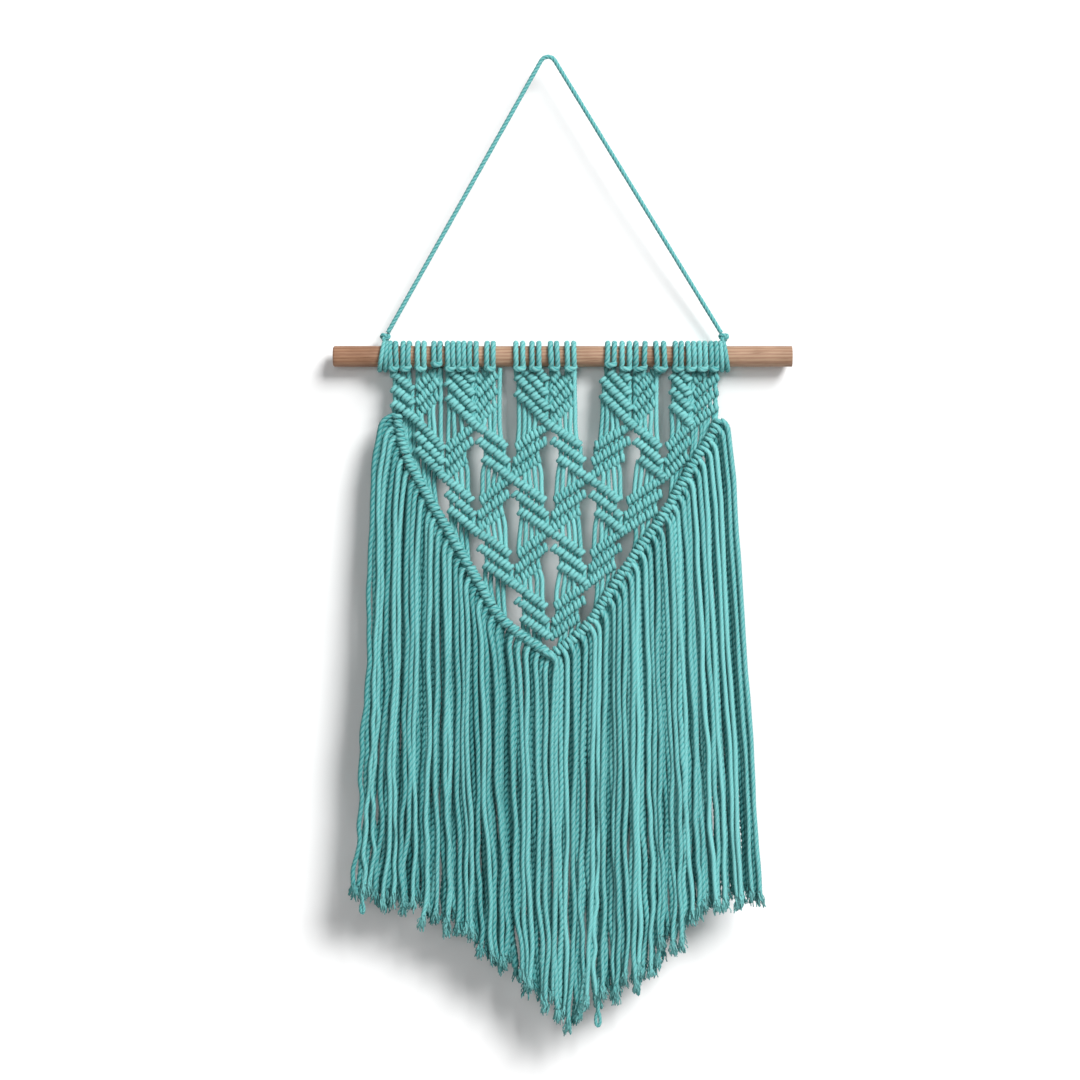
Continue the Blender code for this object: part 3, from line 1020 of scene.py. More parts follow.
@dataclass
class HangingCord:
    """The cord that the hanging hangs by, from one hitch over the hook to the other."""

    finish: bpy.types.Material
    radius: float = 1.7
    fuller: float = 0.15           # added to the twist, as its grooves take some away
    bend: float = 6.0              # its middle line over the hook
    knot_radius: float = 3.3
    clearance: float = 0.3
    knot_z: float = -212.0
    side_steps: int = 26
    knots_x: dict[Side, float] = field(
        default_factory=lambda: {Side.LEFT: -124.0, Side.RIGHT: 134.0}
    )

    def route(self) -> np.ndarray:
        """Draws the CAD cord's route: up one leg, over the hook and down the other.

        Returns:
            The points of its middle.
        """
        top = np.array((0.0, 0.0, self.radius - self.bend))

        def on_bend(side: Side, angle: float) -> np.ndarray:
            """Returns the point on the bend at an angle from upright."""
            way = np.array((side.sign * math.sin(angle), 0, math.cos(angle)))
            return top + self.bend * way

        halves = []
        for side in Side:
            knot = np.array((self.knots_x[side], 0.0, self.knot_z))
            reach = knot - top
            lean = math.atan2(side.sign * reach[0], -reach[2])
            lean += math.asin(self.bend / np.linalg.norm(reach))
            angle = math.pi / 2 - lean
            touch = on_bend(side, angle)
            low = knot + unit(touch - knot) * (self.knot_radius + self.clearance)
            leg = [low + (touch - low) * step / self.side_steps for step in range(self.side_steps)]
            halves.append(leg + [on_bend(side, angle * share) for share in (1, 0.66, 0.33)])
        over = top + np.array((0, 0, self.bend))
        return np.array(halves[0] + [over] + halves[1][::-1])

    def build(self) -> bpy.types.Object:
        """Builds the cord.

        Returns:
            The piece.
        """
        route = smooth_route(self.route(), 1.3)
        mesh = CordMesh(11)
        order = np.arange(len(route))
        thick = 1 + 0.03 * np.sin(order * 0.37) * np.sin(order * 0.11)
        cord = Cord(radius=self.radius + self.fuller, lay=10.5, groove=0.7)
        mesh.lay(route, cord, tint=1.0, shares=thick)
        piece = place(mesh.finished("hanging_cord_twist", self.finish), "hanging_cord")
        float(lengths_along(route)[-1] * MM)
        return piece


@dataclass
class Hitch:
    """One end of the hanging cord: an overhand knot on top of the rod and turns round the rod."""

    side: Side
    finish: bpy.types.Material
    knot_x: float
    # x of each turn on top of the rod and below it
    turns: dict[Side, tuple[tuple[float, float], ...]] = field(
        default_factory=lambda: {
            Side.LEFT: ((-122.6, -124.0), (-124.6, -128.3)),
            Side.RIGHT: ((131.4, 132.6), (133.6, 136.8)),
        }
    )
    ring: float = 10.4
    knot_size: float = 1.02

    def knot_route(self) -> np.ndarray:
        """Draws the overhand knot: a trefoil drawn tight.

        Returns:
            The points of its middle.
        """
        t = np.linspace(0, 2 * math.pi, 60, endpoint=False)
        x = np.sin(t) + 2 * np.sin(2 * t)
        z = np.cos(t) - 2 * np.cos(2 * t)
        points = np.stack((x, -1.1 * np.sin(3 * t), 0.95 * z), axis=1) * self.knot_size
        return points + np.array((self.knot_x, -0.4, HangingCord.knot_z - 0.4))

    def build(self) -> bpy.types.Object:
        """Builds the hitch in place of its CAD node.

        Returns:
            The piece.
        """
        mesh = CordMesh(21 + self.side.sign)
        mesh.lay(self.knot_route(), Cord(radius=1.5, lay=10.5), closed=True)
        angle = np.linspace(0, 2 * math.pi, 44, endpoint=False)
        for top_x, low_x in self.turns[self.side]:
            middle, lean = 0.5 * (top_x + low_x), 0.5 * (top_x - low_x)
            x = middle + lean * np.cos(angle)
            high = PLAN.rod_centre[2] + self.ring * np.cos(angle)
            route = np.stack((x, self.ring * np.sin(angle), high), axis=1)
            centre = np.stack((x, 0 * x, 0 * x + PLAN.rod_centre[2]), axis=1)
            mesh.lay(route, Cord(radius=2.0), sides=unit(route - centre), closed=True)
        label = self.side.value
        return place(mesh.finished(f"hitch_{label}_turns", self.finish), f"hitch_{label}")


@dataclass
class Heading:
    """The lark's heads on the rod, each one cord folded over, with its two ends drawn down."""

    finish: bpy.types.Material
    radius: float = 2.15
    ring: float = 10.1
    turn: float = 312.0            # degrees from the bottom, round the back to the fold
    short_turn: float = 297.0
    # x of the middle of each head and half the distance between its two turns
    heads: tuple[tuple[float, float], ...] = (
        (-117.8, 2.0), (-108.3, 2.3), (-96.8, 2.3), (-84.6, 2.3), (-74.3, 2.1),
        (-66.0, 2.05), (-57.2, 2.3), (-44.2, 2.3), (-21.8, 2.6), (-9.6, 2.6),
        (4.6, 2.3), (17.2, 2.6), (47.7, 2.6), (59.1, 2.7), (70.1, 3.5),
        (85.5, 3.0), (99.1, 2.3), (109.0, 2.2), (117.5, 2.2), (126.2, 1.9),
    )
    folded_high: tuple[int, ...] = (3, 12)     # the heads whose fold sits higher

    def head_route(self, number: int, mesh: CordMesh) -> np.ndarray:
        """Draws one head with its two tails.

        Args:
            number: which head.
            mesh: the mesh that it goes into, for its random numbers.

        Returns:
            The route from the end of one tail to the end of the other.
        """
        x, half = self.heads[number]
        high = number in self.folded_high
        end = math.radians(self.short_turn if high else self.turn)
        lean, tilt, drop, slack = mesh.random.uniform(-1, 1, 4)
        centre_z = PLAN.rod_centre[2]
        start = math.radians(10)
        halves = []
        for way in (-1, 1):
            side_x = x + way * half
            land_x, land_z = PLAN.landing(number // 2, side_x + 0.3 * slack)
            corners = [
                (land_x, 0.6, min(land_z, PLAN.heading_z - 3)),
                (0.6 * side_x + 0.4 * land_x, 1.2, 0.5 * (PLAN.heading_z + land_z) + 0.5),
            ]
            for step in range(11):
                angle = start + (end - start) * step / 10
                off = 0.45 * lean * math.cos(angle) + 0.3 * way * tilt * math.sin(angle)
                y, z = self.ring * math.sin(angle), centre_z - self.ring * math.cos(angle)
                corners.append((side_x + off, y, z))
            halves.append(corners)
        ring = self.ring + (0.4 if high else 1.2)
        past = end + (0.16 if high else 0.24)
        fold_y = ring * math.sin(past) - 0.9
        fold_z = centre_z - ring * math.cos(past) - 0.5 * abs(drop)
        fold = []
        for way in (-1, 1):
            low = fold_z + 0.4 * way * tilt
            fold.append((x + way * 1.25 * half, fold_y + 0.3, low + 0.5))
            fold.append((x + way * 0.6 * half, fold_y - 0.5, low - 0.5))
        fold[2], fold[3] = fold[3], fold[2]
        return smooth_route(halves[0] + fold + halves[1][::-1], 1.3)

    def build(self) -> bpy.types.Object:
        """Builds all the lark's heads as one piece.

        Returns:
            The piece.
        """
        mesh = CordMesh(31)
        for number in range(len(self.heads)):
            route = self.head_route(number, mesh)
            run = lengths_along(route)
            fold = np.exp(-(((run - 0.5 * run[-1]) / 5.0) ** 2))
            mesh.lay(route, Cord(radius=self.radius, step=1.5), shares=1 + 0.14 * fold)
        return place(mesh.finished("larks_heads", self.finish), "knotted_panel")


@dataclass(frozen=True)
class Wrapping:
    """How the cords are wound round a filler cord to make a bar of double half hitches."""

    cord: Cord
    half_width: float = 2.2        # of the ring's middle line, across the bar
    half_depth: float = 2.5
    pitch: float = 3.4
    segments: int = 12
    lean: float = 0.0              # in degrees, of the upper side of each turn along the bar
    unevenness: float = 1.0
    tint: float = 1.0
    filler: Cord = Cord(radius=1.7, step=3.0, points_per_ply=3)
    # painted shade: the filler is drawn darker, as it shows only deep between the turns
    filler_shade: float = 0.85

    def wind(self, mesh: CordMesh, line: np.ndarray) -> None:
        """Winds the turns of one bar.

        Args:
            mesh: the mesh that they go into.
            line: the bar's middle line, at even steps.
        """
        run = lengths_along(line)
        count = max(2, round(run[-1] / self.pitch))
        tangents = unit(np.gradient(line, axis=0))
        angle = np.linspace(0, 2 * math.pi, self.segments, endpoint=False)
        rough = self.unevenness
        tint = self.tint * mesh.strand_tint(0.05)
        for number in range(count):
            # The two turns of one knot lie a little closer together.
            pair = 0.05 if number % 2 else -0.05
            stray = rough * mesh.random.uniform(-0.07, 0.07)
            spot = (number + 0.5 + pair + stray) * run[-1] / count
            centre = np.array([np.interp(spot, run, line[:, axis]) for axis in range(3)])
            along = unit(np.array([np.interp(spot, run, tangents[:, axis]) for axis in range(3)]))
            across = unit(np.cross(FRONT, along))
            lean = math.radians(self.lean + rough * mesh.random.uniform(-7, 7))
            leant = across * math.cos(lean) + along * math.sin(lean)
            size = 1 + rough * mesh.random.uniform(-0.07, 0.07)
            centre = centre + across * rough * mesh.random.uniform(-0.25, 0.25)
            route = (
                centre
                + np.outer(np.cos(angle) * self.half_width * size / math.cos(lean), leant)
                + np.outer(np.sin(angle) * self.half_depth * size, FRONT)
            )
            mesh.lay(
                route,
                self.cord,
                tint=tint * mesh.strand_tint(0.06),
                sides=unit(route - centre),
                closed=True,
            )
        mesh.lay(line, self.filler, tint=self.filler_shade)


@dataclass
class Bars:
    """The diagonal bars of the panel that run one way: three to an arm, four in the top row.

    A knot tied one way along the bar undoes the cord's twist and lies smooth; tied the other way
    it tightens the twist, and the plies show as steep grains.
    """

    run: Run
    finish: bpy.types.Material
    arch: float = 0.6              # how far the middle of each bar bows up
    belly: float = 0.5             # how far it bows forward
    upper_rows: int = 2            # these make one piece, and those below them another

    def wrapping(self) -> Wrapping:
        """Chooses how the bars that run this way are wound.

        Returns:
            The wrapping.
        """
        if self.run is Run.FALLING:
            smooth = Cord(1.88, lay=26.0, points_per_ply=3, flattened=0.9, groove=0.84)
            return Wrapping(smooth, lean=10.0, tint=1.03)
        grained = Cord(1.93, lay=20.0, points_per_ply=3, flattened=0.9, groove=0.76)
        return Wrapping(grained, lean=20.0, tint=1.05)

    def lines(self) -> Iterator[tuple[int, np.ndarray]]:
        """Draws the bars that run this way.

        Yields:
            The row and the middle line of each bar.
        """
        for column in range(PLAN.columns):
            for row in range(len(PLAN.lines)):
                found = PLAN.arm(column, row)
                if not found or found[0] is not self.run:
                    continue
                for high, low in PLAN.bars(column, row):
                    steps = np.linspace(0, 1, 9)[:, None]
                    line = high + (low - high) * steps
                    bow = np.sin(steps[:, 0] * math.pi)
                    line[:, 2] += self.arch * bow
                    line[:, 1] -= self.belly * bow
                    yield row, line

    def build(self) -> list[bpy.types.Object]:
        """Builds the bars, the upper rows apart from the rest.

        Returns:
            The two pieces.
        """
        pieces = []
        for label, upper in (("upper", True), ("lower", False)):
            mesh = CordMesh(41 + 7 * self.run.value + int(upper))
            for row, line in self.lines():
                if (row < self.upper_rows) is upper:
                    self.wrapping().wind(mesh, line)
            name = f"{self.run.name.lower()}_bars_{label}"
            pieces.append(place(mesh.finished(name, self.finish), "knotted_panel"))
        return pieces


@dataclass
class FreeStrands:
    """The loose cords between the bars, and those that run down behind them to the edge."""

    finish: bpy.types.Material
    radius: float = 2.0
    pitch: float = 4.7
    most: int = 4                  # beside one gap
    shortest: float = 9.0
    inside: float = 1.6            # how far behind the middle of the bars that they pass through
    # painted light: drawn lighter than the cord's own colour, to lift the shade between the bars
    tint: float = 1.1
    link_y: float = 3.6            # depth of the cords that run down to the edge
    # where along the outermost bars those cords cross them
    link_shares: tuple[float, ...] = (0.05, 0.25, 0.45, 0.64)
    top_link_shares: tuple[float, ...] = (0.05, 0.2, 0.35, 0.5, 0.66, 0.82, 0.97)

    @property
    def cord(self) -> Cord:
        """The cord that the strands are cut from."""
        return Cord(self.radius, points_per_ply=3)

    def triangle(self, mesh: CordMesh, column: int, row: int) -> None:
        """Lays the strands between this row's bars and the next row's in one column.

        Args:
            mesh: the mesh that they go into.
            column: the column.
            row: the row of the bars above.
        """
        above, below = PLAN.bars(column, row), PLAN.bars(column, row + 1)
        found = PLAN.arm(column, row)
        if not (found and above and below):
            return
        upper, lower = above[0], below[-1]
        line, side = found[1], (1 if found[0] is Run.FALLING else -1)
        for index in range(self.most):
            stray = mesh.random.uniform(-0.5, 0.5) * min(index, 1)
            inset = self.radius + 0.1 + index * self.pitch + stray

            def x_at(z: float) -> float:
                """Returns where the strand runs at a height: it follows the gap's side."""
                bow = PLAN.gap(line, z) * (1 - 0.12 * index)
                return PLAN.line_x(line, row) + side * (inset + bow)

            middle = PLAN.row_z(row)
            top_z, low_z = middle + 20.0, middle - 20.0
            for _ in range(12):     # settles where the bowed strand meets its two bars
                top_z += 0.5 * (PLAN.height_at(upper, x_at(top_z)) - 1.0 - top_z)
                low_z += 0.5 * (PLAN.height_at(lower, x_at(low_z)) + 1.0 - low_z)
            if top_z - low_z < self.shortest:
                continue
            if not row and not index and column % 2 and 0 < line < len(PLAN.lines):
                top_z = PLAN.heading_z + 3      # beside a slot it comes straight from the rod
            count = max(6, round((top_z - low_z) / 7))
            sway = mesh.random.uniform(-0.5, 0.5, 3)
            corners = []
            for step, z in enumerate(np.linspace(top_z, low_z, count + 1)):
                turn = step / count * math.pi
                x = x_at(z) + sway[0] * math.sin(turn) + sway[1] * math.sin(2 * turn)
                corners.append((x, 0.4 + sway[2] + 0.8 * math.sin(turn) * (-1) ** index, z))
            tint = self.tint * mesh.strand_tint()
            mesh.lay(smooth_route(corners, self.cord.step), self.cord, tint)

    def carried(self, mesh: CordMesh, column: int, row: int) -> None:
        """Lays the cords that run from bar to bar inside one arm.

        Args:
            mesh: the mesh that they go into.
            column: the arm's column.
            row: its row.
        """
        bars = PLAN.bars(column, row)
        if not bars:
            return
        first, last = sorted((bars[0][0][0], bars[0][1][0]))
        count = max(2, round((last - first) / self.pitch) + 1)
        for x in np.linspace(first + 2, last - 2, count):
            over = [bar for bar in bars[1:] if bar[:, 0].min() - 0.5 < x < bar[:, 0].max() + 0.5]
            if not over:
                continue
            top, low = PLAN.height_at(over[-1], x), PLAN.height_at(bars[0], x)
            y = bars[0][0][1] + self.inside
            route = smooth_route([(x, y, top), (x, y, 0.5 * (top + low)), (x, y, low)], 2.4)
            mesh.lay(route, self.cord, tint=1.0)

    def links(self, mesh: CordMesh) -> None:
        """Lays the strands that pass behind the outermost bars down to the edge on each side.

        Args:
            mesh: the mesh that they go into.
        """
        last = len(PLAN.lines)
        for side in Side:
            for row in range(last // 2 + 1):
                column = row if side is Side.LEFT else last - row
                high, low = PLAN.bars(column, row)[0]
                for share in self.link_shares if row else self.top_link_shares:
                    x = high[0] + (low[0] - high[0]) * share
                    z = high[2] + (low[2] - high[2]) * share
                    edge = EDGES[side].height_at(x)
                    if edge > z - 5:
                        continue
                    sway = mesh.random.uniform(-0.8, 0.8, 2)
                    corners = [
                        (x, self.link_y + sway[0], z),
                        (x - side.sign * sway[1], self.link_y + sway[0], 0.5 * (z + edge)),
                        (x - side.sign * 1.5, 0.5 * self.link_y, edge),
                    ]
                    mesh.lay(smooth_route(corners, self.cord.step), self.cord)

    def build(self) -> bpy.types.Object:
        """Builds all the free strands as one piece.

        Returns:
            The piece.
        """
        mesh = CordMesh(61)
        for column in range(PLAN.columns):
            for row in range(len(PLAN.lines)):
                self.triangle(mesh, column, row)
                self.carried(mesh, column, row)
        self.links(mesh)
        return place(mesh.finished("free_strands", self.finish), "knotted_panel")


@dataclass(frozen=True)
class EdgeLine:
    """The middle line of one half of the V-shaped edge, and where the cords of its fringe hang."""

    side: Side
    corners: tuple[tuple[float, float], ...]
    outer_x: float                 # of the outermost strand's cut end
    inner_x: float
    # share of the sideways way that a strand has gone, by share of its fall
    hang: tuple[tuple[float, float], ...]
    wrap_lean: float               # of the knots along the edge, in degrees
    wrap_pitch: float

    def line(self) -> np.ndarray:
        """Returns the edge from its upper end to the point, at even steps."""
        corners = [*((x, 0.0, z) for x, z in self.corners), PLAN.tip]
        return smooth_route(corners, 2.0)

    def height_at(self, x: float) -> float:
        """Finds the edge's middle at this x.

        Args:
            x: where.

        Returns:
            The height there.
        """
        line = self.line()
        order = np.argsort(line[:, 0])
        return float(np.interp(x, line[order, 0], line[order, 2]))

    def root(self, share: float) -> tuple[np.ndarray, np.ndarray]:
        """Finds where a strand leaves the edge.

        Args:
            share: how far along the edge towards the tip.

        Returns:
            The point on the middle line, and the direction away from the panel.
        """
        line = self.line()
        spot = share * (len(line) - 1)
        order = np.arange(len(line))
        point = np.array([np.interp(spot, order, line[:, axis]) for axis in range(3)])
        before, after = max(0, int(spot) - 3), min(len(line) - 1, int(spot) + 3)
        way = line[after] - line[before]
        return point, unit(np.array((self.side.sign * abs(way[2]), 0.0, -abs(way[0]))))


EDGES = {
    Side.LEFT: EdgeLine(
        side=Side.LEFT,
        corners=(
            (-115, -271), (-113.5, -281), (-111, -293), (-105, -309), (-93, -331), (-78, -356),
            (-54, -397), (-34, -428),
        ),
        outer_x=-147.0,
        inner_x=0.9,
        hang=(
            (0, 0), (0.06, 0.2), (0.1, 0.29), (0.27, 0.37), (0.49, 0.44), (0.66, 0.64),
            (0.83, 0.77), (1, 1),
        ),
        wrap_lean=12.0,
        wrap_pitch=3.5,
    ),
    Side.RIGHT: EdgeLine(
        side=Side.RIGHT,
        corners=(
            (130.5, -275), (122, -291), (111, -308), (89, -346), (66, -378), (44, -411),
            (27, -435),
        ),
        outer_x=160.5,
        inner_x=6.6,
        hang=(
            (0, 0), (0.1, 0.17), (0.215, 0.25), (0.45, 0.49), (0.67, 0.73), (0.88, 0.9), (1, 1),
        ),
        wrap_lean=-8.0,
        wrap_pitch=3.9,
    ),
}

# The cut ends of the fringe, as x and z of the lower outline.
CUT_LINE = (
    (-149, -640), (-134, -641), (-120, -651), (-105, -644), (-90, -659), (-60, -668), (-44, -690),
    (-29, -692), (-17, -710), (-2, -720), (9, -731), (17, -738), (28, -729), (39, -723), (47, -717),
    (62, -709), (78, -700), (89, -681), (104, -673), (112, -655), (127, -647), (139, -645),
    (150, -642), (163, -646),
)


@dataclass
class EdgeBar:
    """The heavy bar of knots along one half of the V-shaped edge."""

    side: Side
    finish: bpy.types.Material
    half_width: dict[Side, float] = field(
        default_factory=lambda: {Side.LEFT: 2.45, Side.RIGHT: 2.6}
    )
    half_depth: float = 2.9
    forward: float = 0.6           # of the middle of the panel

    def build(self) -> bpy.types.Object:
        """Builds the bar in place of part of its CAD node.

        Returns:
            The piece.
        """
        edge = EDGES[self.side]
        wrapping = Wrapping(
            Cord(1.98, lay=22.0, points_per_ply=3, flattened=0.9),
            half_width=self.half_width[self.side],
            half_depth=self.half_depth,
            pitch=edge.wrap_pitch,
            segments=16,
            lean=edge.wrap_lean,
            unevenness=1.3,
        )
        mesh = CordMesh(71 + self.side.sign)
        wrapping.wind(mesh, edge.line() + self.forward * FRONT)
        label = self.side.value
        return place(mesh.finished(f"edge_bar_{label}", self.finish), f"fringe_{label}")


class Layer(Enum):
    """The layers of the fringe, from the front."""

    FRONT = "front"
    MIDDLE = "middle"
    BEHIND = "behind"


@dataclass(frozen=True)
class LayerPlan:
    """How the strands of one layer of the fringe hang."""

    count: int
    y: float                       # depth at which they hang
    first: float                   # place of the first strand along the edge
    last: float
    fuller: float                  # added to the radius, so that no wall shows between strands
    step: float                    # between two rings of the mesh
    fibres: int                    # tufts at each cut end
    lift: float                    # depth at which a strand leaves the edge
    reach: float                   # how far out it bends over, beside the front layer
    tint: float                    # painted shade: the strands behind are drawn darker, as they hang in the shade of those in front
    phase: float                   # of its groups of strands, so that few gaps go right through


# the middle and behind layers are drawn darker: painted shade
LAYERS = {
    Layer.FRONT: LayerPlan(
        count=27, y=-2.0, first=0.0, last=1.0, fuller=0.03, step=1.7, fibres=30,
        lift=-0.2, reach=1.0, tint=1.0, phase=0.0,
    ),
    Layer.MIDDLE: LayerPlan(
        count=29, y=1.3, first=0.013, last=0.98, fuller=0.3, step=2.2, fibres=14,
        lift=1.2, reach=0.85, tint=0.84, phase=1.9,
    ),
    Layer.BEHIND: LayerPlan(
        count=30, y=4.4, first=0.026, last=0.97, fuller=0.85, step=2.6, fibres=10,
        lift=2.6, reach=0.7, tint=0.74, phase=3.6,
    ),
}


@dataclass
class Fringe:
    """The long fringe below one half of the edge, in three layers, with frayed ends."""

    side: Side
    finish: bpy.types.Material
    radius: float = 2.2
    fray_length: float = 13.0
    huddle: float = 1.25           # how far the strands move together in small groups
    bunch: float = 1.7             # how far they do so near their cut ends
    bunch_from: float = 0.7        # share of the fall at which that starts
    bunch_run: float = 0.3
    over_lift: float = -2.8        # on the right the front strands come over the edge
    # how far the outermost strand swings out at the top
    flare: dict[Side, float] = field(default_factory=lambda: {Side.LEFT: 5.0, Side.RIGHT: 0.5})
    flare_to: float = 0.1          # place along the edge at which that ends
    # painted light and shade: the half towards the light is drawn lighter, the other half darker
    side_light_and_shade: dict[Side, float] = field(
        default_factory=lambda: {Side.LEFT: 0.95, Side.RIGHT: 1.06}
    )
    # the layer of the cord in which each half of the edge ends
    tip_layer: dict[Side, Layer] = field(
        default_factory=lambda: {Side.LEFT: Layer.FRONT, Side.RIGHT: Layer.MIDDLE}
    )
    # ends that have sprung back into a loop: x, z of the top, width and height
    curls: dict[Side, tuple[tuple[float, float, float, float], ...]] = field(
        default_factory=lambda: {
            Side.LEFT: ((-141.5, -643.0, 2.4, 8.0),),
            Side.RIGHT: ((38.0, -726.0, 3.2, 11.0),),
        }
    )

    def calm_at(self, share: float) -> float:
        """Returns how much a strand sways: the outermost on the right hang almost straight."""
        return 0.3 + 0.7 * min(1.0, share / 0.35) if self.side is Side.RIGHT else 1.0

    def shoulder(self, share: float, y: float, layer: Layer) -> list[np.ndarray]:
        """Draws how a strand leaves the edge and bends over to hang.

        Args:
            share: where along the edge.
            y: the depth at which it hangs.
            layer: its layer.

        Returns:
            The first points of its route.
        """
        root, outward = EDGES[self.side].root(share)
        aside = np.array((outward[0], 0.0, 0.0))
        over = layer is Layer.FRONT and self.side is Side.RIGHT
        lift = self.over_lift if over else LAYERS[layer].lift
        far = LAYERS[layer].reach
        flare = self.flare[self.side] * max(0.0, 1 - share / self.flare_to)
        bend = root + outward * 5.6 * far + aside * (1.0 + 0.6 * flare)
        return [
            root + outward * 1.0 + np.array((0, lift, 0)),
            root + outward * 4.3 * far + np.array((0, lift, -0.4)),
            bend + np.array((0, 0.5 * (lift + y), -3.4)),
            root + outward * 5.8 * far + aside * (1.7 + flare) + np.array((0, y, -8.5)),
        ]

    def lay_frayed(
        self,
        mesh: CordMesh,
        route: np.ndarray,
        cord: Cord,
        tint: float,
        fibres: int,
        shares: Optional[np.ndarray] = None,
    ) -> None:
        """Lays a strand and frays its cut end.

        Args:
            mesh: the mesh that it goes into.
            route: the points of its middle.
            cord: the cord.
            tint: how light it is.
            fibres: how many tufts stand out of the end.
            shares: at each point, the thickness over the cord's own.
        """
        mesh.lay(route, cord, tint=tint, shares=shares)
        way = unit(route[-1] - route[-4])
        mesh.fray(route[-1], way, self.radius, tint, self.fray_length, fibres)

    def strand(self, mesh: CordMesh, share: float, y: float, number: int, layer: Layer) -> None:
        """Lays one strand from the edge to its frayed end.

        Args:
            mesh: the mesh that it goes into.
            share: how far across towards the tip it starts.
            y: the depth at which it hangs.
            number: its number, for the bunches at the ends.
            layer: its layer.
        """
        edge, random, plan = EDGES[self.side], mesh.random, LAYERS[layer]
        calm = self.calm_at(share)
        low_x = edge.outer_x + (edge.inner_x - edge.outer_x) * share
        low_x += calm * random.uniform(-1.4, 1.4)
        cut = np.array(CUT_LINE)
        low_z = float(np.interp(low_x, cut[:, 0], cut[:, 1])) + self.fray_length * 0.5
        low_z += random.uniform(-3, 8) if layer is Layer.FRONT else random.uniform(0, 12)
        corners = self.shoulder(share, y, layer)
        start = corners[-1]
        shares, outs = np.array(edge.hang).T
        phase = random.uniform(0, 2 * math.pi, 4)
        # A few strands are much more unruly than the rest, and so are the outermost on the left.
        unruly = calm * (random.uniform(0.5, 1.0) + (0.8 if random.random() < 0.15 else 0))
        if share < 0.12 and self.side is Side.LEFT:
            unruly += 0.5
        waves = random.uniform(95, 170), random.uniform(30, 55)
        bunch = self.bunch * calm * math.sin(1.9 * number + 2.0 * self.side.sign + plan.phase)
        huddle = self.huddle * calm * math.sin(2.35 * number + 1.3 * self.side.sign + plan.phase)
        fall = start[2] - low_z
        count = max(12, int(fall / 11))
        for step in range(1, count + 1):
            t = step / count
            s = fall * t
            slow, quick = 2 * math.pi * s / waves[0], 2 * math.pi * s / waves[1]
            x = start[0] + (low_x - start[0]) * float(np.interp(t, shares, outs))
            x += calm * (0.35 + 1.1 * t) * min(1, 6 * t) * math.sin(slow + phase[0])
            x += unruly * (0.12 + 0.75 * t**2.2) * math.sin(quick + phase[1])
            x += bunch * max(0.0, t - self.bunch_from) / self.bunch_run + huddle * min(1.0, 4 * t)
            depth = y + 0.7 * t * math.sin(slow + phase[2])
            depth += 0.5 * unruly * t**2 * math.sin(quick + phase[3])
            corners.append(np.array((x, depth, start[2] - s)))
        cord = Cord(self.radius + plan.fuller, plan.step, points_per_ply=3)
        route = smooth_route(corners, cord.step)
        run = lengths_along(route)
        # each strand's own tone, times painted shade for the layers behind and painted light and
        # shade for each half
        tint = mesh.strand_tint(0.12) * plan.tint * self.side_light_and_shade[self.side]
        thickness = 1 + 0.04 * np.sin(run / 9.0 + phase[0]) + 0.03 * np.sin(run / 31.0 + phase[1])
        thickness = thickness * (1 - random.uniform(0.0, 0.2) * (run / run[-1]) ** 2)
        self.lay_frayed(mesh, route, cord, tint, plan.fibres, thickness)

    def tip_strand(self, mesh: CordMesh) -> None:
        """Lays the cord in which this half of the edge ends.

        The left one loops over the point and hangs in front. The right one drops behind it.

        Args:
            mesh: the mesh that it goes into.
        """
        plan = LAYERS[self.tip_layer[self.side]]
        if self.side is Side.LEFT:
            over = ((-6, -2.5, 1.5), (-2.5, -5.0, 1.2), (1.6, -5.2, -0.8), (3.9, -3.6, -5.0))
            fall = [
                (4.4 + 1.4 * math.sin(z / 31) * math.cos(z / 170), -2.6, z)
                for z in np.arange(-470, -716, -12.0)
            ]
            cord, tint = Cord(self.radius, plan.step, points_per_ply=3), 1.03
        else:
            over = ((5.0, 2.6, 0.0), (1.4, 3.4, -3.0))
            fall = [(1.6 + 0.7 * math.sin(z / 43), 3.3, z) for z in np.arange(-466, -716, -12.0)]
            cord, tint = Cord(self.radius + plan.fuller, plan.step, points_per_ply=3), plan.tint
        corners = [*(np.array(PLAN.tip) + np.array(step) for step in over), *map(np.array, fall)]
        route = smooth_route(corners, cord.step)
        self.lay_frayed(mesh, route, cord, tint, plan.fibres)

    def curl(self, mesh: CordMesh, x: float, z: float, width: float, height: float) -> None:
        """Lays a cord end that has sprung back into a loop.

        Args:
            mesh: the mesh that it goes into.
            x: the loop's middle.
            z: the loop's top.
            width: how wide it is.
            height: how high it is.
        """
        corners = [(x + 0.8, -0.5, z + 26), (x + 0.5, -2.5, z + 12), (x + 0.2, -3.2, z + 3)]
        for turn in np.linspace(0.1, 1.9, 12) * math.pi:
            side = 0.5 * width * math.sin(turn) * (1 - 0.25 * math.cos(turn))
            down = 0.5 * height * (1 - math.cos(turn))
            corners.append((x + side, -3.2 + 0.5 * turn / math.pi, z - down))
        corners.append((x - 0.2, -1.6, z + 4))
        mesh.lay(smooth_route(corners, 1.2), Cord(radius=1.5, lay=9.0))

    def build(self) -> list[bpy.types.Object]:
        """Builds the three layers in place of part of their CAD node.

        Returns:
            The three pieces.
        """
        pieces = []
        label = self.side.value
        for order, (layer, plan) in enumerate(LAYERS.items()):
            mesh = CordMesh(81 + 5 * self.side.sign + order)
            for number in range(plan.count):
                share = plan.first + (plan.last - plan.first) * number / (plan.count - 1)
                if 0 < number < plan.count - 1:
                    share += mesh.random.uniform(-0.25, 0.25) / plan.count
                lift = mesh.random.uniform(-1.0, 1.0) + (0.7 if number % 2 else -0.7)
                self.strand(mesh, share, plan.y + lift, number, layer)
            if layer is Layer.FRONT:
                for curl in self.curls[self.side]:
                    self.curl(mesh, *curl)
            if layer is self.tip_layer[self.side]:
                self.tip_strand(mesh)
            name = f"fringe_{label}_{layer.value}"
            pieces.append(place(mesh.finished(name, self.finish), f"fringe_{label}"))
        return pieces


